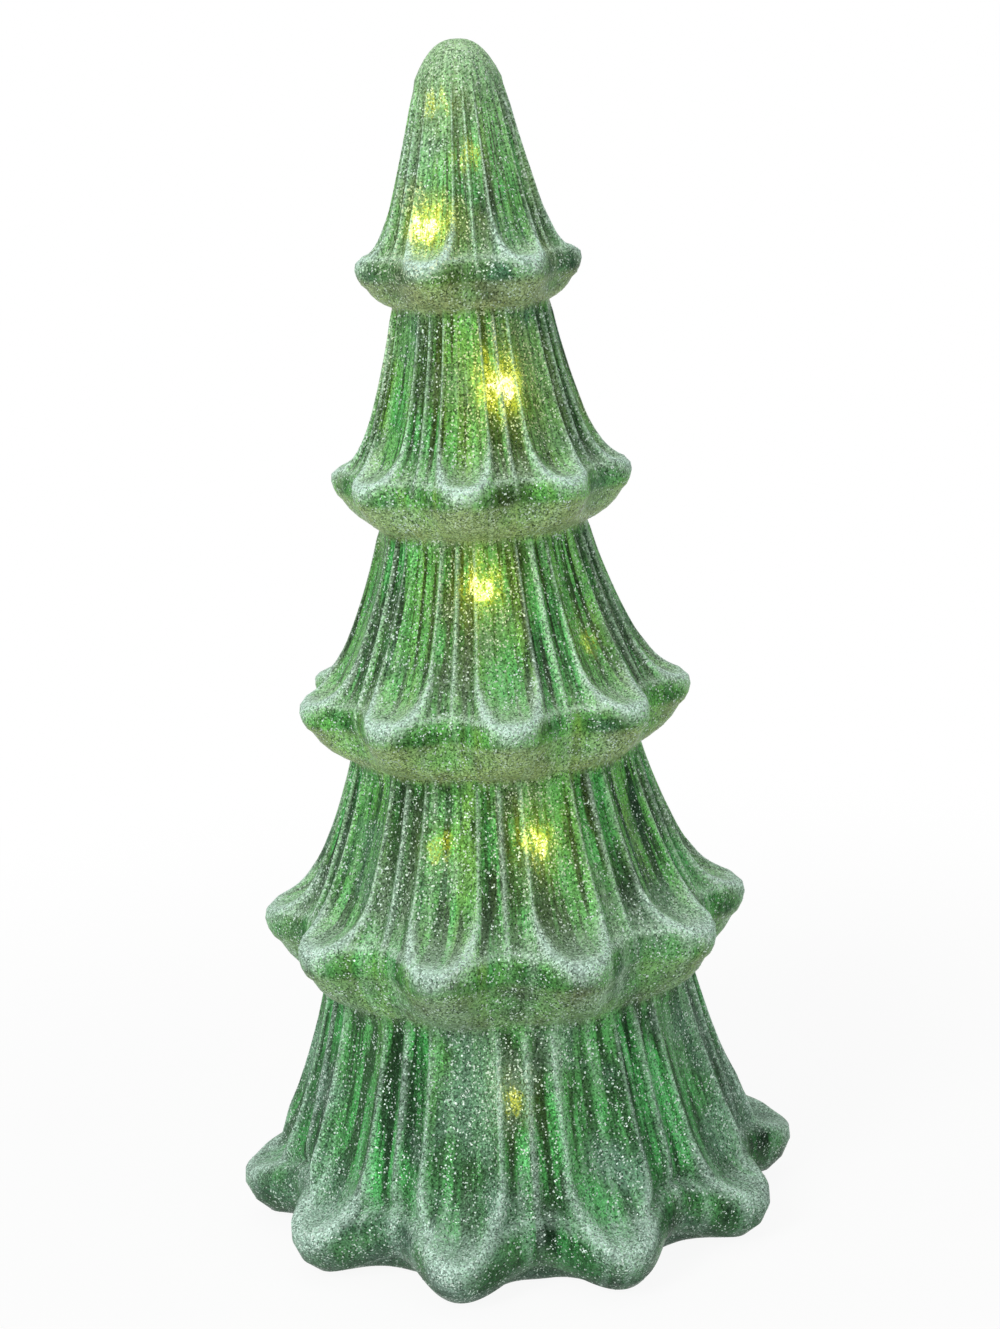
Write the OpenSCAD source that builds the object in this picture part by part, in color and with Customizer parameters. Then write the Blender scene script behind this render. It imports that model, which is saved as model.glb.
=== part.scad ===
// Light-up glass Christmas tree: a blown glass shell of five lobed, fluted tiers over a
// battery base with a timer switch and a string of small lights on a clear stem.
// Millimetres. The origin is on the table under the tree's axis, +Z is up, the front is -Y.

/* [Glass] */
// Height of the tree from the table to its tip
tree_h = 355; // [340:1:430]
// Thickness of the glass wall
glass_t = 3; // [2:0.25:3.5]
// Radius of the round mouth in the underside
mouth_r = 56; // [54:0.5:58]
// Thickness of the glass round the mouth
mouth_t = 6; // [4.5:0.5:8]
// Width of the flat ring round the mouth that stands on the table
stand_w = 6; // [5:0.5:6.5]
// Height of the rounded tip above the crown's flutes
dome_h = 11; // [9:0.5:16]

/* [Crown tier] */
// Radius of the crown where its rounded tip begins
crown_top_r = 12.5; // [11:0.5:15]
// Radius of the crown's skirt just above its rim
crown_foot_r = 27; // [25:0.5:28]
// Radius over the lobes of the crown's rim
crown_rim_r = 32.5; // [31:0.5:36]
// Height of the crown's rim above the table
crown_rim_z = 290; // [285:1:296]

/* [Second tier] */
// Radius of the second tier at its top
second_top_r = 23; // [21:0.1:25]
// Height of the second tier's top above the table
second_top_z = 280; // [276:1:282]
// Radius of the second tier's skirt just above its rim
second_foot_r = 37.6; // [34:0.1:38.5]
// Radius over the lobes of the second tier's rim
second_rim_r = 44.2; // [42:0.1:48]
// Height of the second tier's rim above the table
second_rim_z = 228; // [225:0.5:235]

/* [Third tier] */
// Radius of the third tier at its top
third_top_r = 30.8; // [28:0.1:33]
// Height of the third tier's top above the table
third_top_z = 215; // [210:1:217]
// Radius of the third tier's skirt just above its rim
third_foot_r = 51.2; // [47:0.1:53]
// Radius over the lobes of the third tier's rim
third_rim_r = 59; // [57:0.1:64]
// Height of the third tier's rim above the table
third_rim_z = 162; // [158:0.5:168]

/* [Fourth tier] */
// Radius of the fourth tier at its top
fourth_top_r = 43.8; // [40:0.1:47]
// Height of the fourth tier's top above the table
fourth_top_z = 147; // [142:1:149]
// Radius of the fourth tier's skirt just above its rim
fourth_foot_r = 64.2; // [60:0.1:66]
// Radius over the lobes of the fourth tier's rim
fourth_rim_r = 73.4; // [71:0.1:79]
// Height of the fourth tier's rim above the table
fourth_rim_z = 94; // [90:0.5:100]

/* [Bottom tier] */
// Radius of the bottom tier at its top
bottom_top_r = 56.4; // [53:0.1:60]
// Height of the bottom tier's top above the table
bottom_top_z = 76.5; // [70:0.5:79]
// Radius of the bottom tier's skirt just above its rim
bottom_foot_r = 78; // [76:0.1:94]
// Radius over the lobes of the bottom tier's rim
bottom_rim_r = 85.8; // [83:0.1:104]
// Height of the bottom tier's rim above the table
bottom_rim_z = 12; // [10:0.5:15]

/* [Lobes and flutes] */
// Lobes round each rim, crown first
lobes = [6, 8, 9, 10, 10]; // [5:1:12]
// Turn of each rim's lobes from the front, crown first
lobe_turn = [-25.5, -7.5, 5.5, -18, -14.5]; // [-36:0.5:36]
// How far the valleys lie inside the lobes at each rim, crown first
lobe_depth = [5, 5.5, 9, 10.5, 13]; // [3:0.5:13.5]
// How deep the folds between the lobes run at the foot of each skirt, crown first
fold_depth = [3, 3, 4, 6, 9]; // [1:0.5:10]
// How far each rim arches up in its valleys, crown first
valley_lift = [1, 1, 1, 1.5, 6.5]; // [0:0.5:7]
// How far each rolled lip rises above the middle of its rim, crown first
lip_h = [5, 5, 5.5, 6.5, 6]; // [4:0.5:8]
// How far each lip rolls back under itself, crown first
lip_w = [5, 4.5, 5.5, 6.5, 12]; // [4:0.5:12]
// Depth of the wide scoop down each lobe, crown first
scoop_d = [1.5, 2, 2.5, 3, 4]; // [0.5:0.25:4]
// Depth of the narrow flutes beside the scoops
flute_d = 1; // [0.25:0.25:1.5]

/* [Base] */
// Height of the base plate's underside above the table
plate_z = 2.5; // [2:0.25:3]
// Thickness of the base plate
plate_t = 4; // [4:0.25:5]
// Thickness of the silicone seal between plate and glass
seal_t = 0.8; // [0.5:0.1:1.5]
// Height of the wall round the base plate
skirt_h = 10; // [6:0.5:14]
// Thickness of the wall round the base plate
skirt_t = 2; // [1.5:0.25:2.5]

/* [Battery bay] */
// Cells side by side in the bay
cells = 3; // [2:1:3]
// Diameter of one cell
cell_d = 14.5; // [12:0.1:15]
// Length of one cell over its button
cell_l = 50.5; // [44:0.5:52]
// Length of a contact spring in the closed bay
spring_l = 5.6; // [5:0.1:7]
// Thickness of the contact plates
contact_t = 0.4; // [0.3:0.05:0.6]
// Wall thickness of the battery box
box_t = 2; // [1.5:0.25:2.5]
// Thickness of the battery door
door_t = 2; // [1.5:0.25:2]
// Width of the ledge that the door closes against
ledge_w = 2.5; // [1.5:0.25:3]
// Radius of the door's hinge pin
pin_r = 1; // [0.75:0.05:1]

/* [Timer and switch] */
// Length of the timer board
board_l = 34; // [34:0.5:35]
// Width of the timer board
board_w = 15; // [14:0.5:15]
// Thickness of the timer board
board_t = 1.6; // [1:0.1:2]
// Height of the slide switch's can
switch_h = 3.6; // [3:0.1:5]
// Travel of the switch from on, past off, to timer
switch_travel = 4; // [3:0.25:4]

/* [Light string] */
// Outer radius of the clear stem
stem_r = 5; // [3.5:0.25:6]
// Wall thickness of the clear stem
stem_t = 1.2; // [0.8:0.1:1.5]
// Distance from the tree's tip down to the stem's top
stem_drop = 32; // [28:1:60]
// Radius of the light string's wire
wire_r = 0.45; // [0.3:0.05:0.6]
// Radius of one light's drop of resin
bead_r = 2; // [1.5:0.1:2.2]

/* [Hidden] */
$fn = 48;

// Clearances
touch = 0.05;     // pieces of one assembly that sit against each other
slip = 0.3;       // pieces that move past each other
run = 0.06;       // the door's knuckle on its pin
cut = 1;          // how far a cut runs past a face
weld = 1;         // how far two shapes of one piece run into each other
door_gap = 0.1;   // above the closed door

// Glass, tiers from the crown down
TIERS = len(lobes);
BOTTOM = TIERS - 1;
dome_z = tree_h - dome_h;
top_r = [crown_top_r, second_top_r, third_top_r, fourth_top_r, bottom_top_r];
top_z = [dome_z, second_top_z, third_top_z, fourth_top_z, bottom_top_z];
foot_r = [crown_foot_r, second_foot_r, third_foot_r, fourth_foot_r, bottom_foot_r];
rim_r = [crown_rim_r, second_rim_r, third_rim_r, fourth_rim_r, bottom_rim_r];
rim_z = [crown_rim_z, second_rim_z, third_rim_z, fourth_rim_z, bottom_rim_z];
// How far each lip hangs below the middle of its rim: the bottom one reaches the table
hang_h = [for (i = [0 : BOTTOM]) i == BOTTOM ? bottom_rim_z : lip_h[i]];
meridians = 80;       // points round every ring of the shell
// Share of each skirt's spread that comes late, as a curve, crown first
skirt_flare = [0.2, 0.45, 0.45, 0.45, 0.45];
fold_power = 2;       // how late the folds deepen down a skirt
valley_roll = 0.5;    // how far a lip rolls under in a valley, as a share of its roll on a lobe
flute_start = 0.06;   // where down a skirt the flutes reach their depth
scoop_share = 0.53;   // half width of a scoop, as a share of half a lobe
scoop_turn = 0.7;     // where down the skirt a scoop's round end begins
flute_fade = 0.35;    // a scoop's depth at the top of its skirt, as a share of the full depth
skirt_steps = [0, 0.35, 0.7, 0.86, 1];
roll_angles = [70, 5, -55];
dome_angles = [65, 40, 18];
inner_steps = [0, 0.5, 1];
inner_dome_angles = [35, 65];
under_t = 1.3 * glass_t;   // thickness of the glass under a lip
bottom_fill = 1;           // how much further in the hollow of the bottom lip begins

// Base and battery bay
plate_r = mouth_r - seal_t;
plate_top = plate_z + plate_t;
cell_gap = 0.5;
cell_pitch = cell_d + cell_gap;
bay_l = cell_l + spring_l + 2 * contact_t + 2 * touch;
bay_w = cells * cell_pitch;
door_top = plate_z + door_t;
cell_z = door_top + 0.2 + cell_d / 2;
bay_top = cell_z + cell_d / 2 + 0.4;
box_top = bay_top + box_t;
button_r = 2.75;
button_h = 1;
tab_w = 6;            // width of a contact's solder tab
tab_rise = 3;         // how far a solder tab stands above the box
contact_w = 11;
contact_h = cell_d - 2;
spring_wire_r = 0.45;
spring_base_r = 4.6;
spring_tip_r = 2.6;
spring_turns = 3;

// Screws, posts and ears
post_r = 3.5;
post_h = 5;
ear_t = 2.5;
box_screw_r = 1.2;
screw_head_h = 1.6;
screw_head_r = 2.6;
screw_bite = 1;       // how far a screw of the box reaches into the base plate
pilot_floor = 1;      // thickness left under a pilot hole
cross_w = 0.6;        // width of the cross slot in a screw's head
cross_share = 0.6;    // reach of the cross slot, as a share of the head's radius
box_post = [bay_l / 2 - 10.5, bay_w / 2 + box_t + post_r + 1.5];
box_posts = [for (x = [-1, 1]) for (y = [-1, 1]) [x * box_post[0], y * box_post[1]]];

// Hinge and latch of the door
knuckle_r = pin_r + 0.9;
knuckle_w = 15;
door_l = bay_l + 2 * ledge_w;
door_w = bay_w + 2 * ledge_w;
hinge_gap = knuckle_r + 1.2;   // from the pin to the door's edge
hinge_x = -(door_l / 2 + hinge_gap);
hinge_z = plate_z + knuckle_r + 0.1;
pin_l = knuckle_w + 9;
hinge_block_t = 2;
hinge_wall = 2;       // wall of the hinge block beyond the knuckle
pin_cover = 1;        // wall of the hinge block beyond each end of the pin
pin_mouth = 0.8;      // half width of the pin's snap-in mouth, as a share of its radius
latch_w = 12;
latch_l = 6;
latch_room = 6;
grip_h = 0.8;
grip_w = 0.8;
grip_pitch = 2;
grips = 3;
grip_margin = 1;      // from the ribs to the edges of the latch
finger_room = 3;      // on each side of the latch
// End of the rabbet, inside the circle that the door's edge swings on
swing_x = hinge_x + sqrt(pow(hinge_gap - slip, 2) - pow(hinge_z - plate_z, 2));

// Timer board and switch, at the back of the base
board_y = box_post[1] + post_r + 1 + board_w / 2;
board_z = plate_top + switch_h + 0.4;
board_top = board_z + board_t;
board_screw_x = board_l / 2 - 3.5;
board_post_r = 2.5;
board_screw_r = 0.85;
board_screw_l = 4;    // below the board
board_head_r = 1.9;
board_head_h = 1.3;
switch_l = 13;
switch_w = 6;
switch_wall = 0.4;
knob_l = 3;
knob_w = 3;
knob_drop = 1.3;      // how far the knob stands below the base plate
slider_l = 6;
slider_h = 2;
slot_half = (switch_travel + knob_l) / 2 + slip;   // half the length of the knob's slot
switch_end = 1;       // wall at each end of the switch's can
slider_lift = 0.2;    // the slider above the floor of the can
rib_w = 0.6;          // ribs of the knob, a millimetre apart

// On the board: places from its middle, then sizes
chip_at = [-4, 2];
chip_l = 5;
chip_w = 4;
chip_h = 1.6;
chip_lift = 0.2;
chip_leads = 4;
chip_pitch = 1.27;
chip_lead_w = 0.4;
chip_lead_t = 0.3;
chip_lead_span = 6;
crystal_at = [3, 5];
crystal_r = 1;
crystal_l = 6;
capacitor_at = [-7, -4.5];
capacitor_r = 2.2;
capacitor_h = 6;
capacitor_foot_r = 2.4;
capacitor_foot_h = 0.5;
resistors = 3;
resistor_at = [6, 2];
resistor_pitch = 2;
resistor_l = 2;
resistor_w = 1.2;
resistor_h = 0.6;

// Stem
stem_top = tree_h - stem_drop;
socket_h = 10;
socket_t = 3;
stem_z = box_top + 1;
cap_h = 4;
plug_h = 6;
cap_lip = 0.6;        // how far the cap stands out over the stem
cap_taper = 1;        // how far the cap's top lies inside the stem's edge

// Route of the lights, from the tip down: azimuth from the front, radius and height
LIGHTS = [[-25, 6, 338], [5, 8, 322], [105, 9, 316], [205, 10, 311], [331, 14, 303],
          [420, 12, 294], [510, 13, 280], [612, 16, 268], [735, 20, 258], [825, 20, 244],
          [915, 21, 228], [1000, 22, 213], [1077, 27.4, 202], [1125, 30, 182], [1215, 32, 164],
          [1310, 34, 146], [1419, 30, 128], [1451, 40, 129], [1550, 46, 100], [1660, 48, 74],
          [1799, 52.5, 56]];
string_start = [0, 0, stem_top + cap_h + 0.5];
string_end = [[32, -18, 34], [38, 8, 28], [26, 32, 23], [11, board_y - 5.5, 18],
              [11, board_y - 5.5, board_top + 0.2]];
route_steps = 3;
wire_sides = 8;

// Lead routes, from their solder tabs to the board
lead_r = 0.7;
tab_x = bay_l / 2 - contact_t / 2;
RED_ROUTE = [[tab_x - 0.9, cell_pitch, box_top + 2], [22, 16, 27], [18, 24, 26], [9, 32, 21],
             [4, board_y - 6, 18], [4, board_y - 6, board_top + 0.2]];
BLACK_ROUTE = [[0.9 - tab_x, -cell_pitch, box_top + 2], [-24, -10, 27], [-23, 6, 28], [-23, 20, 27],
               [-18, 31, 22], [-12, board_y - 6, 18], [-12, board_y - 6, board_top + 0.2]];

// Where an angle lies across its lobe: 0 on the middle, -1 and 1 in the valleys beside it
function across(i, a) = let (x = (a - lobe_turn[i]) * lobes[i] / 360) 2 * (x - floor(x + 0.5));
function valley(i, a) = (1 - cos(180 * across(i, a))) / 2;

// Depth of the flutes at a share t down a skirt, u across the lobe
function scoop_half(t) = scoop_share
    * sqrt(max(0, 1 - pow(max(0, (t - scoop_turn) / (1 - scoop_turn)), 2)));
function flute(i, u, t) =
    let (w = scoop_half(t), mid = (1 + scoop_share) / 2, half = (1 - scoop_share) / 2)
    min(1, t / flute_start) * (u < w
        ? scoop_d[i] * (flute_fade + (1 - flute_fade) * t) * (1 - pow(u / w, 2))
        : t < 1 ? flute_d * max(0, 1 - pow((u - mid) / half, 2)) : 0);

// Points of the glass in the half plane at angle a: [radius, height]
function skirt_r(i, a, t) = top_r[i]
    + (foot_r[i] - top_r[i]) * (skirt_flare[i] * t * t + (1 - skirt_flare[i]) * t)
    - fold_depth[i] * pow(t, fold_power) * valley(i, a);
function rim_mid(i, a) = rim_z[i] + valley_lift[i] * valley(i, a);
function skirt_z(i, a, t) = top_z[i] + (rim_mid(i, a) + lip_h[i] * sin(roll_angles[0]) - top_z[i]) * t;
function skirt_point(i, a, t) =
    [skirt_r(i, a, t) - flute(i, abs(across(i, a)), t), skirt_z(i, a, t)];
function rim_out(i, a) = rim_r[i] - lobe_depth[i] * valley(i, a);
function roll_w(i, a) = lip_w[i] * (1 - (1 - valley_roll) * valley(i, a));
function roll_point(i, a, s) =
    [rim_out(i, a) - roll_w(i, a) * (1 - cos(s)),
     rim_mid(i, a) + (s > 0 ? lip_h[i] : hang_h[i]) * sin(s)];
function dome_point(s) = [top_r[0] * cos(s), dome_z + dome_h * pow(sin(s), 2)];

// The same for the inside of the glass
function inner_skirt(i, a, t) =
    [skirt_r(i, a, t) - scoop_d[i] * t - flute_d - glass_t, skirt_z(i, a, t)];
function inner_rim(i, a) = [rim_out(i, a) - glass_t, rim_mid(i, a)];
function inner_roll(i, a) = i == BOTTOM
    ? [rim_out(i, a) - roll_w(i, a) - bottom_fill, mouth_t + valley_lift[i] * valley(i, a)]
    : [rim_out(i, a) - roll_w(i, a), rim_mid(i, a) - hang_h[i] + under_t];
function inner_dome(s) =
    [(top_r[0] - glass_t - flute_d) * cos(s), dome_z + (dome_h - glass_t) * pow(sin(s), 2)];

// The mouth's flat ring, widened so that its flats clear the round base
flats = 1 / cos(180 / meridians);
function mouth_points() =
    [[(mouth_r + stand_w) * flats, 0], [mouth_r * flats, 0], [mouth_r * flats, mouth_t]];

// Every ring's point in one half plane, down the outside and back up the inside
function outline(a) = concat(
    [for (s = dome_angles) dome_point(s)],
    [for (i = [0 : BOTTOM]) each concat(
        [for (t = skirt_steps) skirt_point(i, a, t)],
        [for (s = roll_angles) roll_point(i, a, s)])],
    [roll_point(BOTTOM, a, -90)],
    mouth_points(),
    [for (j = [0 : BOTTOM]) let (i = BOTTOM - j) each concat(
        [inner_roll(i, a), inner_rim(i, a)],
        [for (k = [len(inner_steps) - 1 : -1 : 0]) inner_skirt(i, a, inner_steps[k])])],
    [for (s = inner_dome_angles) inner_dome(s)]);

// The front is at -Y, and azimuths turn from it towards +X
function around(a, p) = [p[0] * sin(a), -p[0] * cos(a), p[1]];

module glass_shell() {
    step = 360 / meridians;
    columns = [for (k = [0 : meridians - 1]) outline(k * step)];
    rings = len(columns[0]);
    points = concat(
        [for (j = [0 : rings - 1]) for (k = [0 : meridians - 1]) around(k * step, columns[k][j])],
        [[0, 0, tree_h], [0, 0, tree_h - glass_t]]);
    tip = rings * meridians;
    side = [for (j = [0 : rings - 2]) for (k = [0 : meridians - 1])
        let (n = (k + 1) % meridians, a = j * meridians, b = a + meridians)
        each [[a + k, a + n, b + k], [a + n, b + n, b + k]]];
    last = (rings - 1) * meridians;
    caps = [for (k = [0 : meridians - 1]) let (n = (k + 1) % meridians)
        each [[tip, n, k], [tip + 1, last + k, last + n]]];
    color("seagreen", 0.8) polyhedron(points, concat(side, caps), convexity = 12);
}

// Tube of the given radius along a list of points
function unit(v) = v / norm(v);
function tangent(p, i) = unit(p[min(i + 1, len(p) - 1)] - p[max(i - 1, 0)]);
function ring_at(p, i, r, sides, up) =
    let (t = tangent(p, i), n = unit(up - (up * t) * t), b = cross(t, n))
    [for (k = [0 : sides - 1]) p[i] + r * (cos(360 * k / sides) * n + sin(360 * k / sides) * b)];

module tube(p, r, sides, up) {
    last = (len(p) - 1) * sides;
    polyhedron(
        [for (i = [0 : len(p) - 1]) each ring_at(p, i, r, sides, up)],
        concat(
            [[for (k = [0 : sides - 1]) k]],
            [for (i = [0 : len(p) - 2]) for (k = [0 : sides - 1])
                let (a = i * sides, b = a + sides, n = (k + 1) % sides)
                each [[a + k, b + k, a + n], [a + n, b + k, b + n]]],
            [[for (k = [sides - 1 : -1 : 0]) last + k]]),
        convexity = 8);
}

// Smooth curve through a list of points
function through(p, steps) =
    let (n = len(p) - 1, at = function(i) p[max(0, min(n, i))])
    concat([for (i = [0 : n - 1]) for (k = [0 : steps - 1])
        let (t = k / steps, a = at(i - 1), b = at(i), c = at(i + 1), d = at(i + 2))
        0.5 * (2 * b + (c - a) * t + (2 * a - 5 * b + 4 * c - d) * t * t
            + (3 * b - a - 3 * c + d) * t * t * t)], [p[n]]);

light_points = [for (l = LIGHTS) around(l[0], [l[1], l[2]])];

// Ring of silicone that holds the base plate in the mouth
module silicone_seal() color("whitesmoke") translate([0, 0, plate_z]) difference() {
    cylinder(r = mouth_r - touch, h = mouth_t - plate_z, $fn = 96);
    translate([0, 0, -cut]) cylinder(r = plate_r + touch, h = mouth_t + cut, $fn = 96);
}

// Box with its corner at the given low point
module block(low, high) translate(low) cube(high - low);

// Bar between two x values, of the given width about y
module slot_bar(x, y, w, z0, z1) block([x[0], y - w / 2, z0], [x[1], y + w / 2, z1]);

// Round bar along the door's hinge line
module hinge_rod(r, l) translate([hinge_x, 0, hinge_z]) rotate([90, 0, 0])
    cylinder(r = r, h = l, center = true);

module base_plate() color("dimgray") difference() {
    union() {
        translate([0, 0, plate_z]) cylinder(r = plate_r, h = plate_t, $fn = 96);
        translate([0, 0, plate_z]) difference() {
            cylinder(r = plate_r, h = skirt_h, $fn = 96);
            translate([0, 0, -cut]) cylinder(r = plate_r - skirt_t, h = skirt_h + 2 * cut, $fn = 96);
        }
        for (p = box_posts) translate([p[0], p[1], plate_z]) cylinder(r = post_r, h = plate_t + post_h);
        for (x = [-1, 1]) translate([x * board_screw_x, board_y, plate_z])
            cylinder(r = board_post_r, h = board_z - plate_z);
        slot_bar([hinge_x - knuckle_r - hinge_wall, -(bay_l / 2 + box_t + slip)], 0,
                 pin_l + 2 * pin_cover, plate_z, plate_top + hinge_block_t);
    }
    // Bay, and the rabbet that the door lies in
    slot_bar([-bay_l / 2, bay_l / 2], 0, bay_w, plate_z - cut, plate_top + cut);
    slot_bar([swing_x, door_l / 2 + slip], 0, door_w + 2 * slip, plate_z - cut, door_top + door_gap);
    // Finger room round the door's latch
    slot_bar([0, door_l / 2 + latch_l + latch_room], 0, latch_w + 2 * finger_room,
             plate_z - cut, door_top + door_gap);
    // Room for the knuckle, and the snap-in seats of its pin
    slot_bar([hinge_x - knuckle_r - slip, hinge_x + hinge_gap], 0, knuckle_w + 2 * slip,
             plate_z - cut, hinge_z + knuckle_r + slip);
    hinge_rod(pin_r + touch, pin_l + 2 * touch);
    slot_bar([hinge_x - pin_mouth * pin_r, hinge_x + pin_mouth * pin_r], 0, pin_l + 2 * touch,
             plate_z - cut, hinge_z);
    // Slot of the switch's knob
    slot_bar([-slot_half, slot_half], board_y, knob_w + 2 * slip, plate_z - cut, plate_top + cut);
    // Pilot holes
    for (p = box_posts) translate([p[0], p[1], plate_z + pilot_floor])
        cylinder(r = box_screw_r + touch, h = plate_t + post_h);
    for (x = [-1, 1]) translate([x * board_screw_x, board_y, plate_z + pilot_floor])
        cylinder(r = board_screw_r + touch, h = board_z);
}

module battery_box() color("gainsboro") difference() {
    union() {
        slot_bar([-bay_l / 2 - box_t, bay_l / 2 + box_t], 0, bay_w + 2 * box_t, plate_top, box_top);
        for (p = box_posts) {
            ear_z = plate_top + post_h;
            translate([p[0], p[1], ear_z]) cylinder(r = post_r, h = ear_t);
            slot_bar([p[0] - post_r, p[0] + post_r], (p[1] + sign(p[1]) * bay_w / 2) / 2,
                     abs(p[1]) - bay_w / 2, ear_z, ear_z + ear_t);
        }
        translate([0, 0, bay_top]) cylinder(r = stem_r + socket_t, h = box_t + socket_h);
    }
    slot_bar([-bay_l / 2, bay_l / 2], 0, bay_w, plate_top - cut, bay_top);
    for (p = box_posts) translate([p[0], p[1], plate_top]) cylinder(r = box_screw_r + slip, h = box_top);
    translate([0, 0, stem_z]) cylinder(r = stem_r + touch, h = socket_h + box_t);
    for (s = [-1, 1])
        slot_bar([s * tab_x - contact_t / 2 - touch, s * tab_x + contact_t / 2 + touch], s * cell_pitch,
                 tab_w + 2 * touch, bay_top - cut, box_top + cut);
}

// Pan-head screw pointing down, with its head's underside at the origin
module pan_screw(r, l, head_r, head_h) {
    translate([0, 0, -l]) cylinder(r = r, h = l + head_h / 2);
    difference() {
        cylinder(r = head_r, h = head_h);
        for (a = [0, 90]) rotate(a)
            slot_bar([-cross_share * head_r, cross_share * head_r], 0, cross_w,
                     head_h / 2, head_h + cut);
    }
}

module box_screws() color("silver") for (p = box_posts)
    translate([p[0], p[1], plate_top + post_h + ear_t])
        pan_screw(box_screw_r, post_h + ear_t + screw_bite, screw_head_r, screw_head_h);

module battery_door() color("dimgray") difference() {
    union() {
        slot_bar([-door_l / 2, door_l / 2], 0, door_w, plate_z, door_top);
        // Latch tongue with its grip ribs
        slot_bar([door_l / 2 - weld, door_l / 2 + latch_l], 0, latch_w, plate_z, door_top);
        for (k = [0 : grips - 1]) let (x = door_l / 2 + grip_margin + grip_pitch * k)
            slot_bar([x - grip_w / 2, x + grip_w / 2], 0, latch_w - 2 * grip_margin,
                     plate_z - grip_h, plate_z + touch);
        // Knuckle on its web
        hinge_rod(knuckle_r, knuckle_w);
        slot_bar([hinge_x, -door_l / 2 + weld], 0, knuckle_w, plate_z + door_gap, door_top);
    }
    hinge_rod(pin_r + run, knuckle_w + 2 * cut);
}

module hinge_pin() color("silver") hinge_rod(pin_r, pin_l);

// One cell lying along X: turn 1 has its button at +X, -1 at -X
module cell(k) {
    turn = k % 2 == 0 ? 1 : -1;
    side = (k - (cells - 1) / 2) * cell_pitch;
    button_x = bay_l / 2 - contact_t - touch;
    color("darkseagreen") translate([turn * button_x, side, cell_z]) rotate([0, -turn * 90, 0]) union() {
        cylinder(r = button_r, h = button_h + weld);
        translate([0, 0, button_h]) cylinder(r = cell_d / 2, h = cell_l - button_h);
    }
}
module battery_1() cell(0);
module battery_2() cell(1);
module battery_3() cell(2);

// Contact plate on an end wall, wide enough for the given rows of cells
module contact_plate(end, first, rows) {
    y0 = (first - (cells - 1) / 2) * cell_pitch - contact_w / 2;
    x = end * tab_x;
    block([x - contact_t / 2, y0, cell_z - contact_h / 2],
          [x + contact_t / 2, y0 + contact_w + (rows - 1) * cell_pitch, cell_z + contact_h / 2]);
}
module solder_tab(end) slot_bar([end * tab_x - contact_t / 2, end * tab_x + contact_t / 2],
                                end * cell_pitch, tab_w, cell_z, box_top + tab_rise);
module positive_contact() color("silver") union() { contact_plate(1, cells - 1, 1); solder_tab(1); }
module negative_contact() color("silver") union() { contact_plate(-1, 0, 1); solder_tab(-1); }
module left_link_contact() color("silver") contact_plate(-1, 1, cells - 1);
module right_link_contact() color("silver") contact_plate(1, 0, cells - 1);

// Cone of wire from its wide turn at the origin to its narrow turn, along +X
spring_path = [for (k = [0 : 8 * spring_turns]) let (s = k / (8 * spring_turns), a = 45 * k)
    let (r = spring_base_r + (spring_tip_r - spring_base_r) * s)
    [spring_wire_r + touch + (spring_l - 2 * spring_wire_r - 2 * touch) * s, r * cos(a), r * sin(a)]];
spring_pitch = min([for (k = [0 : len(spring_path) - 9]) norm(spring_path[k + 8] - spring_path[k])]);
spring_gap = spring_pitch - 2 * spring_wire_r;
echo(str("least gap between a contact spring's turns: ", spring_gap, " mm"));

module contact_springs() color("silver") for (k = [0 : cells - 1]) {
    end = k % 2 == 0 ? -1 : 1;
    translate([end * (bay_l / 2 - contact_t), (k - (cells - 1) / 2) * cell_pitch, cell_z])
        rotate(end < 0 ? 0 : 180) tube(spring_path, spring_wire_r, 6, [1, 0, 0]);
}

module timer_board() color("darkgreen") difference() {
    slot_bar([-board_l / 2, board_l / 2], board_y, board_w, board_z, board_top);
    for (x = [-1, 1]) translate([x * board_screw_x, board_y, board_z - cut])
        cylinder(r = board_screw_r + slip, h = board_t + 2 * cut);
}

module on_board(p) translate([p[0], board_y + p[1], board_top]) children();

module timer_chip() color("black") on_board(chip_at) union() {
    slot_bar([-chip_l / 2, chip_l / 2], 0, chip_w, chip_lift, chip_h);
    for (k = [0 : chip_leads - 1]) let (x = (k - (chip_leads - 1) / 2) * chip_pitch)
        slot_bar([x - chip_lead_w / 2, x + chip_lead_w / 2], 0, chip_lead_span, 0, chip_lead_t);
}
module timer_crystal() color("silver") on_board(crystal_at) translate([0, 0, crystal_r])
    rotate([0, 90, 0]) cylinder(r = crystal_r, h = crystal_l);
module filter_capacitor() color("midnightblue") on_board(capacitor_at) union() {
    cylinder(r = capacitor_r, h = capacitor_h);
    cylinder(r = capacitor_foot_r, h = capacitor_foot_h);
}
module chip_resistors() color("black") for (k = [0 : resistors - 1])
    on_board(resistor_at - [0, resistor_pitch * k])
        slot_bar([-resistor_l / 2, resistor_l / 2], 0, resistor_w, 0, resistor_h);

module board_screws() color("silver") for (x = [-1, 1]) translate([x * board_screw_x, board_y, board_top])
    pan_screw(board_screw_r, board_t + board_screw_l, board_head_r, board_head_h);

module switch_body() color("silver") difference() {
    slot_bar([-switch_l / 2, switch_l / 2], board_y, switch_w, board_z - switch_h, board_z);
    slot_bar([switch_end - switch_l / 2, switch_l / 2 - switch_end], board_y, switch_w - 2 * switch_wall,
             board_z - switch_h + switch_wall, board_z - switch_wall);
    slot_bar([-slot_half, slot_half], board_y, knob_w + 2 * slip,
             board_z - switch_h - cut, board_z - switch_h / 2);
}

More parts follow.
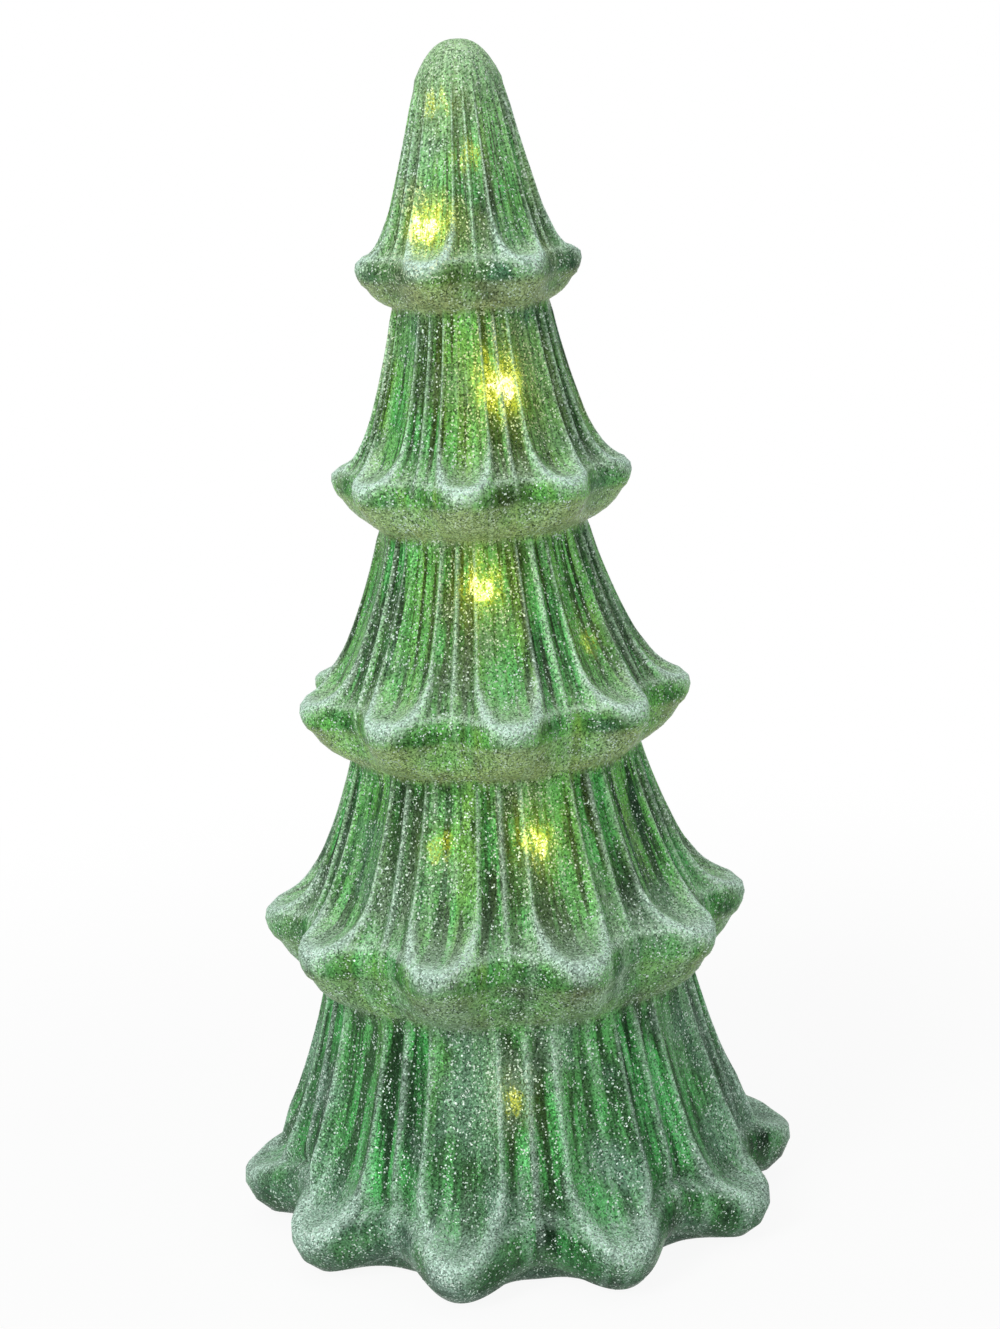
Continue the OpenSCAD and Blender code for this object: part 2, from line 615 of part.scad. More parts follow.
// The knob rests at its on stop, at -X
module switch_knob() color("black") translate([-switch_travel / 2, 0, 0]) union() {
    slider_z = board_z - switch_h + switch_wall + slider_lift;
    slot_bar([-slider_l / 2, slider_l / 2], board_y, switch_w - 2 * switch_wall - 2 * slip,
             slider_z, slider_z + slider_h);
    slot_bar([-knob_l / 2, knob_l / 2], board_y, knob_w, plate_z - knob_drop / 2, slider_z + weld / 2);
    for (x = [-1 : 1]) slot_bar([x - rib_w / 2, x + rib_w / 2], board_y, knob_w,
                                plate_z - knob_drop, plate_z);
}

module lead(route) tube(through(route, route_steps), lead_r, wire_sides, [0.3, 0.2, 1]);
module red_lead() color("firebrick") lead(RED_ROUTE);
module black_lead() color("black") lead(BLACK_ROUTE);

module light_stem() color("azure", 0.5) translate([0, 0, stem_z]) difference() {
    cylinder(r = stem_r, h = stem_top - stem_z);
    translate([0, 0, -cut]) cylinder(r = stem_r - stem_t, h = stem_top - stem_z + 2 * cut);
}
module stem_cap() color("azure", 0.7) translate([0, 0, stem_top]) union() {
    cylinder(r1 = stem_r + cap_lip, r2 = stem_r - cap_taper, h = cap_h);
    translate([0, 0, -plug_h]) cylinder(r = stem_r - stem_t - touch, h = plug_h + weld);
}

wire_points = through(concat([string_start], light_points, string_end), route_steps);
module light_wire() color("goldenrod") tube(wire_points, wire_r, wire_sides, [0.05, 0.1, 1]);
module led_beads() color("lightyellow") for (p = light_points) translate(p) sphere(r = bead_r, $fn = 24);

glass_shell();
silicone_seal();
base_plate();
battery_box();
box_screws();
battery_door();
hinge_pin();
battery_1();
battery_2();
battery_3();
positive_contact();
negative_contact();
left_link_contact();
right_link_contact();
contact_springs();
timer_board();
timer_chip();
timer_crystal();
filter_capacitor();
chip_resistors();
board_screws();
switch_body();
switch_knob();
red_lead();
black_lead();
light_stem();
stem_cap();
light_wire();
led_beads();
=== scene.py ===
import math

import bpy
from bpy.props import FloatProperty, FloatVectorProperty, IntProperty, PointerProperty
from mathutils import Matrix, Vector


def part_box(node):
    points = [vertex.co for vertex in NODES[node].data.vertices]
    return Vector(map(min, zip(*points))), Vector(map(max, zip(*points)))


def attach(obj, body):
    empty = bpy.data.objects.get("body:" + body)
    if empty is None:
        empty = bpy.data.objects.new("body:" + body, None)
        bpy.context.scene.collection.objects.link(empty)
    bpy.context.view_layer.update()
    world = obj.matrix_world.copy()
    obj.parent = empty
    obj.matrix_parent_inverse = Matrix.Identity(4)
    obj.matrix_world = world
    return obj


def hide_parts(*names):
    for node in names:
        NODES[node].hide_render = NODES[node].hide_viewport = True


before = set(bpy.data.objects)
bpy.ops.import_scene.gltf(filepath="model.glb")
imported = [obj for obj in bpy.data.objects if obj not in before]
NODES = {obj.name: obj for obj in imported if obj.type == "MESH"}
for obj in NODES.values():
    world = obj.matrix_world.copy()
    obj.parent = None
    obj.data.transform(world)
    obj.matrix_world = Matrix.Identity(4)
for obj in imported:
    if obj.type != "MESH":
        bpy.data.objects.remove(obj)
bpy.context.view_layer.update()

bl_info = {
    "name": "Light-up Glass Tree",
    "version": (1, 0, 0),
    "blender": (4, 5, 0),
    "location": "View3D > Sidebar > Glass Tree",
    "description": "Finishes a light-up glass Christmas tree around its packed frame",
    "category": "Object",
}

MM = 0.001
TIERS = ("Crown", "Second", "Third", "Fourth", "Bottom")
TREE_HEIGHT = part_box("glass_shell")[1].z
TIP_MM = 11  # height of the rounded tip, in millimetres
SEAL_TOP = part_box("silicone_seal")[1]
SEAL_PLAY = 0.05 * MM  # room between the seal and the glass round it


# Settings

def mm(*lengths):
    """Lengths in metres."""
    return tuple(MM * v for v in lengths)


def tier_values(description, values, **kind):
    """A number for each tier."""
    return FloatVectorProperty(description=description + ", crown first", size=len(TIERS),
                               default=values, **kind)


def per_tier(description, millimetres):
    """A length for each tier."""
    return tier_values(description, mm(*millimetres), subtype="XYZ_LENGTH", unit="LENGTH")


def measure(description, default, unit):
    return FloatProperty(description=description, default=default, unit=unit)


def length(description, millimetres):
    return FloatProperty(description=description, default=MM * millimetres, subtype="DISTANCE",
                         unit="LENGTH")


def colour(description, default):
    return FloatVectorProperty(description=description, size=3, default=default, min=0, max=1,
                               subtype="COLOR")


def named(group):
    """Names each setting of a group after its key."""
    for key, setting in group.__annotations__.items():
        setting.keywords["name"] = key.replace("_", " ").capitalize()
    return group


@named
class GlassSizes(bpy.types.PropertyGroup):
    """Sizes of the blown shell"""
    lobes: tier_values("Lobes round each rim", (6, 8, 9, 10, 10))
    turn: tier_values("Turn of each rim's lobes from the front",
                      [math.radians(v) for v in (-25.5, -7.5, 5.5, -18, -14.5)], unit="ROTATION")
    top_radius: per_tier("Radius of each tier at its top", (12.5, 23, 30.8, 43.8, 56.4))
    top_height: per_tier("Height of each tier's top",
                         (TREE_HEIGHT / MM - TIP_MM, 280, 215, 147, 76.5))
    foot_radius: per_tier("Radius of each skirt just above its rim",
                          (27, 37.6, 51.2, 64.2, 78))
    rim_radius: per_tier("Radius over the lobes of each rim", (32.5, 44.2, 59, 73.4, 85.8))
    rim_height: per_tier("Height of the middle of each rim", (290, 228, 162, 94, 12))
    lip_rise: per_tier("How far each rolled lip rises above its middle", (5, 5, 5.5, 6.5, 6))
    lip_height: per_tier("How far each rolled lip hangs below its middle",
                         (5, 5, 5.5, 6.5, 12))
    lip_roll: per_tier("How far each lip rolls back under itself", (5, 4.5, 5.5, 6.5, 12))
    lobe_depth: per_tier("How far the valleys lie inside the lobes", (5, 5.5, 9, 10.5, 13))
    valley_lift: per_tier("How far the rim arches up in the valleys", (1, 1, 1, 1.5, 6.5))
    fold_depth: per_tier("Depth of the folds at the foot of each skirt", (3, 3, 4, 6, 9))
    scoop_depth: per_tier("Depth of the wide scoop down each lobe", (1.5, 2, 2.5, 3, 4))
    flare: tier_values("Share of each skirt's spread that comes late",
                       (0.2, 0.45, 0.45, 0.45, 0.45))
    flute_start: tier_values("Where down each skirt the flutes are at full depth",
                             (0.16, 0.08, 0.06, 0.06, 0.06))
    flute_depth: length("Depth of the narrow flutes beside the scoops", 1.0)
    ridge_height: length("How far the thin ridges stand up between the flutes", 0.6)
    crest_height: length("How far the crest stands up round a scoop's foot", 1.2)
    ripple: length("Unevenness of the blown glass", 0.35)
    wall: length("Thickness of the glass", 3.0)
    mouth_radius: measure("Radius of the round mouth in the underside",
                          SEAL_TOP.x + SEAL_PLAY, "LENGTH")
    mouth_height: measure("Thickness of the glass round the mouth", SEAL_TOP.z, "LENGTH")
    stand_width: length("Width of the flat ring round the mouth, on the table", 6)


@named
class GlitterSizes(bpy.types.PropertyGroup):
    """Sizes of the glitter dusted over the glass"""
    crumbs: IntProperty(description="Crumbs of clear glitter for each square metre", default=200000)
    smallest: length("Radius of the smallest crumb", 0.09)
    largest: length("Radius of the largest crumb", 0.24)
    seed: IntProperty(description="Seed of the glitter's scatter", default=7)


@named
class Finishes(bpy.types.PropertyGroup):
    """Colours of the glass, its glitter and its glow, and the shade, reflections and glints painted on
    them
    """
    # Painted shade: this deep green also darkens the narrow flutes and the glass just above the table;
    # elsewhere it is the glass's own dark streaks, blotches and grains.
    deep_green: colour("Glass in the bottoms of the flutes", (0.002, 0.024, 0.006))
    leaf_green: colour("Glass on the open faces", (0.115, 0.315, 0.115))
    lit_green: colour("Glass of the upper tiers, nearer the lights", (0.172, 0.555, 0.108))
    teal: colour("Cooler patches of the glass", (0.050, 0.230, 0.110))
    # Painted reflection: streaks where the silvering would shine, painted into the colour.
    bright_green: colour("Streaks where the silvering shines", (0.090, 0.52, 0.120))
    frost: colour("Dense glitter on ridges and lips", (0.68, 0.92, 0.79))
    warm_frost: colour("Thin glitter on the upper tiers", (0.66, 0.91, 0.58))
    # Painted light: grains near a light spot are painted gold, as if lit by it.
    gold: colour("Grains of glitter round the lights", (0.76, 0.84, 0.16))
    # Painted glints: the brightest grains are painted near white.
    sparkle: colour("Brightest grains of glitter", (0.80, 0.97, 0.86))
    olive: colour("Glass that the lamps warm from inside", (0.30, 0.42, 0.045))
    under_glow: colour("Undersides of the lips, lit from inside", (0.42, 0.48, 0.17))


@named
class StageSettings(bpy.types.PropertyGroup):
    """Camera and lamps"""
    lens: measure("Focal length over the picture's long side", 68.67, "CAMERA")
    distance: measure("Camera in front of the tree's axis", 0.7446, "LENGTH")
    height: measure("Camera above the table", 0.3473, "LENGTH")
    pitch: measure("How far the camera looks down", math.radians(13.313), "ROTATION")
    yaw: measure("How far the camera looks to the right", math.radians(0.2), "ROTATION")
    roll: measure("How far the camera leans to the right", math.radians(3.23), "ROTATION")
    key_power: measure("Power of the lamp at the upper left", 10.0, "POWER")
    fill_power: measure("Power of the lamp at the right", 1.0, "POWER")
    top_power: measure("Power of the lamp overhead", 2.5, "POWER")
    ambient: FloatProperty(description="Light that comes from all round", default=0.32, min=0, max=1,
                           subtype="FACTOR")


# Node trees

class Value:
    """A number or vector in a node tree: arithmetic on numbers adds Math nodes to the tree."""

    def __init__(self, socket):
        self.socket = socket

    def math(self, operation, *others):
        return math_node(operation, self, *others)

    def __add__(self, other):
        return self.math("ADD", other)

    def __sub__(self, other):
        return self.math("SUBTRACT", other)

    def __rsub__(self, other):
        return math_node("SUBTRACT", other, self)

    def __mul__(self, other):
        return self.math("MULTIPLY", other)

    def __truediv__(self, other):
        return self.math("DIVIDE", other)

    def __rtruediv__(self, other):
        return math_node("DIVIDE", other, self)

    __radd__ = __add__
    __rmul__ = __mul__

    def at_least(self, other):
        return self.math("MAXIMUM", other)

    def at_most(self, other):
        return self.math("MINIMUM", other)

    def clamped(self):
        return self.at_least(0.0).at_most(1.0)

    def over(self, limit):
        return self.math("GREATER_THAN", limit)

    def line(self, base, slope):
        """A base, and what this value adds to it."""
        return self * slope + base

    def smooth(self, low, high, to_low=0.0, to_high=1.0):
        """A smooth step from low to high."""
        return Value(add(
            tree_of(self), "ShaderNodeMapRange", "Result", {"interpolation_type": "SMOOTHSTEP"},
            Value=self, From_Min=low, From_Max=high, To_Min=to_low, To_Max=to_high))

    def hat(self, width):
        """1 at zero, falling smoothly to 0 at the given width on either side."""
        return self.math("ABSOLUTE").smooth(0.0, width, 1.0, 0.0)

    def towards(self, other, factor):
        return self + (other - self) * factor


def tree_of(*values):
    """The node tree of the first value that comes from a node."""
    sockets = (value.socket if isinstance(value, Value) else value for value in values)
    return next(s.id_data for s in sockets if isinstance(s, bpy.types.NodeSocket))


def plug(value, socket):
    """Links a value to a socket, or writes plain numbers into it."""
    if isinstance(value, Value):
        value = value.socket
    if isinstance(value, bpy.types.NodeSocket):
        socket.id_data.links.new(value, socket)
    elif socket.type == "RGBA" and len(value) == 3:
        socket.default_value = (*value, 1.0)
    else:
        socket.default_value = value


def feed(sockets, **values):
    """Plugs values into the sockets of their names, in which _ stands for a space."""
    for name, value in values.items():
        plug(value, sockets[name.replace("_", " ")])


def math_node(operation, *values, kind="ShaderNodeMath"):
    node = tree_of(*values).nodes.new(kind)
    node.operation = operation
    for value, socket in zip(values, node.inputs):
        plug(value, socket)
    return Value(node.outputs[0])


def add(tree, kind, output=0, settings=(), **inputs):
    """Adds a node with its settings and inputs, and returns the named or numbered output."""
    node = tree.nodes.new(kind)
    for name, value in dict(settings).items():
        setattr(node, name, value)
    feed(node.inputs, **inputs)
    return node.outputs[output]


def floats(*names, default=0.0):
    """Inputs of a node group that are plain numbers."""
    return [(name, "NodeSocketFloat", default) for name in names]


def new_tree(kind, name, inputs, outputs):
    """A node group with named sockets. Returns the tree, its inputs by name and its output sockets."""
    tree = bpy.data.node_groups.new(name, kind)
    for label, socket_type, default in inputs:
        item = tree.interface.new_socket(label, in_out="INPUT", socket_type=socket_type)
        if default is not None:
            item.default_value = default
    for label, socket_type in outputs:
        tree.interface.new_socket(label, in_out="OUTPUT", socket_type=socket_type)
    entry = tree.nodes.new("NodeGroupInput")
    leave = tree.nodes.new("NodeGroupOutput")
    given = {label: Value(entry.outputs[label]) for label, _, _ in inputs}
    return tree, given, leave.inputs


def geometry_tree(name, inputs):
    """A geometry tree with one output. Returns the tree, its inputs by name and its output socket."""
    tree, given, leave = new_tree("GeometryNodeTree", name, inputs, [("Geometry", "NodeSocketGeometry")])
    return tree, given, leave["Geometry"]


def place_group(tree, kind, group, **values):
    """Places a group in a tree with its inputs, and returns its outputs."""
    node = tree.nodes.new(kind)
    node.node_tree = group
    feed(node.inputs, **values)
    return node.outputs


def separate(vector):
    node = tree_of(vector).nodes.new("ShaderNodeSeparateXYZ")
    plug(vector, node.inputs[0])
    return [Value(s) for s in node.outputs]


def combine(x, y, z):
    return add(tree_of(x, y, z), "ShaderNodeCombineXYZ", X=x, Y=y, Z=z)


def noise(vector, scale, detail=2.0, stretch=None):
    tree = tree_of(vector)
    if stretch:
        vector = add(tree, "ShaderNodeMapping", Vector=vector, Scale=stretch)
    return Value(add(tree, "ShaderNodeTexNoise", "Fac", Vector=vector, Scale=scale, Detail=detail))


def stored(geometry, name, value, domain="POINT"):
    """Geometry with a number stored on it under a name."""
    return add(tree_of(geometry), "GeometryNodeStoreNamedAttribute", settings={"domain": domain},
               Geometry=geometry, Name=name, Value=value)


def on_points(tree, name):
    """The number stored on points under a name."""
    return Value(add(tree, "GeometryNodeInputNamedAttribute", "Attribute", Name=name))


def completed(geometry, finish, out):
    """Ends a geometry tree with plain geometry in its finish."""
    tree = tree_of(geometry)
    geometry = add(tree, "GeometryNodeRealizeInstances", Geometry=geometry)
    plug(add(tree, "GeometryNodeSetMaterial", Geometry=geometry, Material=finish), out)


def made_mesh(name, tree, values, material):
    """Runs a geometry tree on an empty mesh, and returns an object with the plain mesh it makes."""
    piece = bpy.data.objects.new(name, bpy.data.meshes.new(name))
    bpy.context.scene.collection.objects.link(piece)
    modifier = piece.modifiers.new(name, "NODES")
    modifier.node_group = tree
    values = {**values, "Finish": material}
    for item in tree.interface.items_tree:
        if item.item_type == "SOCKET" and item.in_out == "INPUT" and item.name in values:
            modifier[item.identifier] = values[item.name]
    graph = bpy.context.evaluated_depsgraph_get()
    mesh = bpy.data.meshes.new_from_object(piece.evaluated_get(graph), preserve_all_data_layers=True,
                                           depsgraph=graph)
    if not mesh.polygons:
        raise RuntimeError(name + " came out empty")
    piece.modifiers.remove(modifier)
    empty = piece.data
    piece.data = mesh
    mesh.name = name
    bpy.data.meshes.remove(empty)
    mesh.materials.clear()
    mesh.materials.append(material)
    return piece


# Glass shell

MERIDIANS = 540
OUTER_RINGS = {"Skirt Rings": 18, "Lip Rings": 6, "Under Rings": 4}
LINING_RINGS = {"Skirt Rings": 2, "Lip Rings": 1, "Under Rings": 1}
DOME_RINGS, MOUTH_RINGS = 8, 3
MERGE_WITHIN = 0.01 * MM
LIP_START, LIP_END, BOTTOM_LIP_END = (math.radians(v) for v in (75, -60, -90))
LINING_LIP, BOTTOM_LINING_LIP = 0.7, 2.0  # by how many walls the lining's lips are shorter
SKIRT_CROWDING = 1.5  # how much closer the rings lie at the foot of a skirt
DOME_POWER = 2.5  # roundness of the tip

# Shares of half a lobe across it, and of a skirt or a lip down it
SCOOP_SHARE = 0.53  # half width of a scoop
SCOOP_TURN, SCOOP_END = 0.72, 1.03  # where down a skirt a scoop's round end begins and closes
SCOOP_KEEP = 0.74  # how much of a scoop's width stays clear of the turn to the lip
SCOOP_FADE = 0.35  # a scoop's depth at the top, as a share of its full depth
FLUTES_OVER_LIP = 0.05, 0.8  # where round a lip the flutes begin to fade, and end
FLUTE_FOOT, FLUTE_FOOT_DEPTH = 0.8, 0.5  # where the flutes get shallower, and what is left of them
EDGE_WIDTH = 0.11, 0.25  # width of the ridge beside a scoop, and what its round end adds
VALLEY_RIDGE = 0.10  # width of the ridge in a valley
CREST_OUT, CREST_UP = 0.4, 0.6  # how much of a crest's height stands outwards and upwards
OUT_FROM, OUT_POWER = 0.40, 9.0  # where a skirt begins to turn out to its lip, and how late
LIP_SHARE = 0.25  # length of a lip, as a share of its skirt
LIP_FADE = 0.3  # where round a lip its own finish is full
UNDER_BEND = 0.32, 0.72  # how far in and down the underside of a lip hangs before it turns in
VALLEY_ROLL = 0.5  # how far a lip rolls under in a valley, as a share of its roll on a lobe

# Unevenness of the blown glass
RIPPLE_SCALE, RIPPLES_ROUND, RIPPLES_UP = 3.0, 3.0, 30.0
STILL_FOOT = mm(2, 20)  # heights between which the unevenness begins

# Frost. Of two shares, the second is what a pattern adds to the first.
FROST_BAND = 6.0 * MM  # height of a lip that is frosted all over its top
FROST_DROP = 0.15  # how far round a lip the middle of its frost lies
FROST_WIDTH, LOBE_FROST, EDGE_FROST = (0.05, 0.20), (0.95, -0.55), (0.6, 0.4)
VALLEY_FROST, FOOT_FROST, FOOT_FROST_FROM = 0.6, 0.10, 0.6

# Brightness of the lights at shares of the tree's height
LIGHT_BY_HEIGHT = ((0.0, 0.2), (0.17, 0.2), (0.30, 0.35), (0.37, 0.65), (0.42, 0.5), (0.50, 0.2),
                   (0.57, 0.6), (0.60, 0.06), (0.68, 0.4), (0.73, 0.9), (0.78, 0.3), (0.83, 0.1),
                   (0.853, 1.0), (0.905, 0.2), (1.0, 0.2))
SPOT_STRETCH = 0.35  # how much less the height counts than the width in a light spot's shape
LIGHT_GAP = mm(6, 12)  # gaps between a light and the glass over which it grows dim
DIM_LIGHT = 0.2

TIER_SIZES = ("Lobes", "Turn", "Top Radius", "Top Height", "Foot Radius", "Rim Radius", "Rim Height",
              "Lip Rise", "Lip Height", "Lip Roll", "Lobe Depth", "Valley Lift", "Fold Depth",
              "Scoop Depth", "Flare", "Flute Start")
SHARED_SIZES = ("Flute Depth", "Ridge Height", "Crest Height", "Ripple")
SHELL_SIZES = ("Wall", "Mouth Radius", "Mouth Height", "Stand Width")
TIER_ONLY = ("Next Radius", "Next Height", "Lip End")


def ring_strip(tree, rings):
    """A grid that becomes rings of the shell: its geometry, the angle round it and the ring's number."""
    grid = add(tree, "GeometryNodeMeshGrid", "Mesh", Size_X=1.0, Size_Y=1.0,
               Vertices_X=MERIDIANS + 1, Vertices_Y=rings)
    x, y, _ = separate(add(tree, "GeometryNodeInputPosition"))
    return grid, (x + 0.5) * math.tau, (y + 0.5) * (rings - 1)


def wrapped(geometry, angle, radius, height):
    """Moves a strip's points to their places round the axis, with angle 0 at the front."""
    place = combine(radius * angle.math("SINE"), radius * angle.math("COSINE") * -1.0, height)
    return add(tree_of(geometry), "GeometryNodeSetPosition", Geometry=geometry, Position=place)


def bent(start, bend, end, way):
    """A value part of the way along a curve from start to end that bends towards a third."""
    return start.towards(bend, way).towards(bend + (end - bend) * way, way)


def tier_tree():
    """One fluted tier: its skirt, its rolled and lobed lip, and the way back in to the next tier."""
    inputs = floats(*TIER_SIZES, *SHARED_SIZES, *TIER_ONLY)
    inputs += [(name, "NodeSocketInt", 1) for name in OUTER_RINGS]
    tree, given, out = geometry_tree("Fluted Tier", inputs)
    (lobes, turn, top_r, top_z, foot_r, rim_r, rim_z, lip_up, lip_h, lip_w, lobe_d, lift, fold_d,
     scoop_d, flare, start) = (given[name] for name in TIER_SIZES)
    flute_d, ridge_h, crest_h, ripple = (given[name] for name in SHARED_SIZES)
    next_r, next_z, lip_end = (given[name] for name in TIER_ONLY)
    skirt_n, lip_n, under_n = (given[name] for name in OUTER_RINGS)

    strip, angle, ring = ring_strip(tree, skirt_n + lip_n + under_n + 1.0)
    down = 1.0 - (1.0 - (ring / skirt_n).clamped()).math("POWER", SKIRT_CROWDING)
    round_lip = ((ring - skirt_n) / lip_n).clamped()
    back_in = ((ring - skirt_n - lip_n) / under_n).clamped()
    on_lip = ring.over(skirt_n + 0.5)

    # Across each lobe: 0 on its middle, 1 in the valleys beside it
    turns = (angle - turn) * lobes / math.tau
    across = (turns - (turns + 0.5).math("FLOOR")).math("ABSOLUTE") * 2.0
    valley = 0.5 - (across * math.pi).math("COSINE") * 0.5
    rim_z = rim_z + lift * valley

    # Scoops with a round end, narrow flutes beside them, and thin ridges between
    to_end = ((down + LIP_SHARE * round_lip - SCOOP_TURN) / (SCOOP_END - SCOOP_TURN)).at_least(0.0)
    closing = to_end.clamped()
    side = across / SCOOP_SHARE
    from_middle = (side * side + to_end * to_end).math("SQRT")
    starting = down.smooth(0.0, start)
    scoop = (1.0 - from_middle * from_middle).clamped() * scoop_d
    scoop = scoop * down.line(SCOOP_FADE, 1.0 - SCOOP_FADE)
    beside = (across - (1 + SCOOP_SHARE) / 2) / ((1 - SCOOP_SHARE) / 2)
    over_lip = round_lip.smooth(*FLUTES_OVER_LIP, 1.0, 0.0)
    shallow = down.smooth(FLUTE_FOOT, 1.0, 1.0, FLUTE_FOOT_DEPTH)
    flute = (1.0 - beside * beside).clamped() * flute_d * over_lip * shallow
    edge_w = closing.line(*EDGE_WIDTH)
    scoop_edge = (from_middle - 1.0 - 0.5 * edge_w).hat(edge_w)
    valley_edge = (1.0 - across).hat(VALLEY_RIDGE) * over_lip
    ridge = scoop_edge.at_least(valley_edge)

    # The skirt turns out to meet the lip, except inside the scoops
    roll = LIP_START + (lip_end - LIP_START) * round_lip
    rim_out = rim_r - lobe_d * valley
    roll_w = lip_w * (1.0 - (1.0 - VALLEY_ROLL) * valley)
    lip_r = rim_out - roll_w * (1.0 - roll.math("COSINE"))
    lip_z = rim_z + lip_h.towards(lip_up, roll.over(0.0)) * roll.math("SINE")
    lip_start_r = rim_out - roll_w * (1.0 - math.cos(LIP_START))
    lip_start_z = rim_z + lip_up * math.sin(LIP_START)
    spread = (flare * down * down + (1.0 - flare) * down) * (foot_r - top_r)
    edge_valley = (1 - math.cos(math.pi * SCOOP_SHARE)) / 2
    fold = fold_d * (valley.at_least(edge_valley) - 0.5 * edge_valley)
    turning = ((down - OUT_FROM) / (1.0 - OUT_FROM)).clamped().math("POWER", OUT_POWER)
    turned_out = (lip_start_r - foot_r + fold) * turning * from_middle.smooth(SCOOP_KEEP, 1.0)
    skirt_r = top_r + spread - fold * down * down + turned_out
    skirt_z = top_z + (lip_start_z - top_z) * down

    crest = crest_h * closing * scoop_edge
    radius = skirt_r.towards(lip_r, on_lip)
    radius = radius + starting * (ridge * ridge_h - scoop - flute) + crest * CREST_OUT
    height = skirt_z.towards(lip_z, on_lip) + crest * CREST_UP
    waves = [angle.math(wave) * RIPPLES_ROUND for wave in ("SINE", "COSINE")]
    uneven = noise(combine(*waves, height * RIPPLES_UP), RIPPLE_SCALE)
    settled = starting * (1.0 - back_in) * height.smooth(*STILL_FOOT)
    radius = radius + (uneven - 0.5) * ripple * settled
    radius = bent(radius, radius.towards(next_r, UNDER_BEND[0]), next_r, back_in)
    height = bent(height, height.towards(next_z, UNDER_BEND[1]), next_z, back_in)

    # Frost lies on the ridges, round the scoops' ends and on top of the lips
    band = (FROST_BAND / lip_h).at_most(1.0)
    lip_top = (down + round_lip - 1.0 - FROST_DROP * band).hat(band.line(*FROST_WIDTH))
    lip_top = lip_top * valley.line(*LOBE_FROST)
    lip_foot = round_lip.smooth(FOOT_FROST_FROM, 1.0) * FOOT_FROST
    lines = (scoop_edge * closing.line(*EDGE_FROST)).at_least(valley_edge * VALLEY_FROST) * starting
    for name, value in (("frost", lines.at_least(lip_top).at_least(lip_foot)),
                        ("depth", starting * scoop / scoop_d),
                        ("narrow", starting * flute / flute_d),
                        ("lip", round_lip.smooth(0.0, LIP_FADE))):
        strip = stored(strip, name, value)
    plug(wrapped(strip, angle, radius, height), out)
    return tree


def dome_strip(tree, top_r, top_z, height):
    """The rounded tip, from its pole down to the crown's first ring."""
    strip, angle, ring = ring_strip(tree, DOME_RINGS + 1)
    out = ring / DOME_RINGS
    rise = height * (1.0 - out.math("POWER", DOME_POWER))
    return wrapped(strip, angle, top_r * out, top_z + rise)


def mouth_strip(tree, radius, height, stand):
    """The flat ring that stands on the table, and the wall of the round mouth inside it."""
    strip, angle, ring = ring_strip(tree, MOUTH_RINGS)
    radius = radius + (ring - 1.0).clamped() * stand
    return wrapped(strip, angle, radius, (1.0 - ring).clamped() * height)


def joined(parts):
    node = tree_of(*parts).nodes.new("GeometryNodeJoinGeometry")
    for part in reversed(parts):
        plug(part, node.inputs[0])
    return node.outputs[0]


def lit_by(tree, shell, outside, lights, tree_height):
    """Stores on the shell how far each point lies from the nearest light spot, and how bright that is.

    A spot lies where a light shines straight out through the glass.
    """
    beads = add(tree, "GeometryNodeObjectInfo", "Geometry", Object=lights)
    here = separate(add(tree, "GeometryNodeInputPosition"))
    ray = tree.nodes.new("GeometryNodeRaycast")
    feed(ray.inputs, Target_Geometry=outside, Ray_Direction=combine(*here[:2], 0.0))
    beads = stored(beads, "gap", ray.outputs["Hit Distance"])
    spots = add(tree, "GeometryNodeSetPosition", Geometry=beads, Position=ray.outputs["Hit Position"])
    nearest = add(tree, "GeometryNodeSampleNearest", settings={"domain": "POINT"}, Geometry=spots)
    gap = add(tree, "GeometryNodeSampleIndex", Geometry=spots, Index=nearest,
              Value=on_points(tree, "gap"))

    curve = tree.nodes.new("ShaderNodeFloatCurve")
    points = curve.mapping.curves[0].points
    lowest, *between, highest = LIGHT_BY_HEIGHT
    for point, place in zip(points, (lowest, highest)):
        point.location = place
    for place in between:
        points.new(*place)
    curve.mapping.update()
    spot = separate(add(tree, "GeometryNodeProximity", "Position", Geometry=spots))
    plug(spot[2] / tree_height, curve.inputs["Value"])
    lit = Value(curve.outputs["Value"]) * Value(gap).smooth(*LIGHT_GAP, 1.0, DIM_LIGHT)
    dx, dy, dz = (a - b for a, b in zip(here, spot))
    to_light = (dx * dx + dy * dy + dz * dz * SPOT_STRETCH).math("SQRT")
    return stored(stored(shell, "to_light", to_light), "lit", lit)


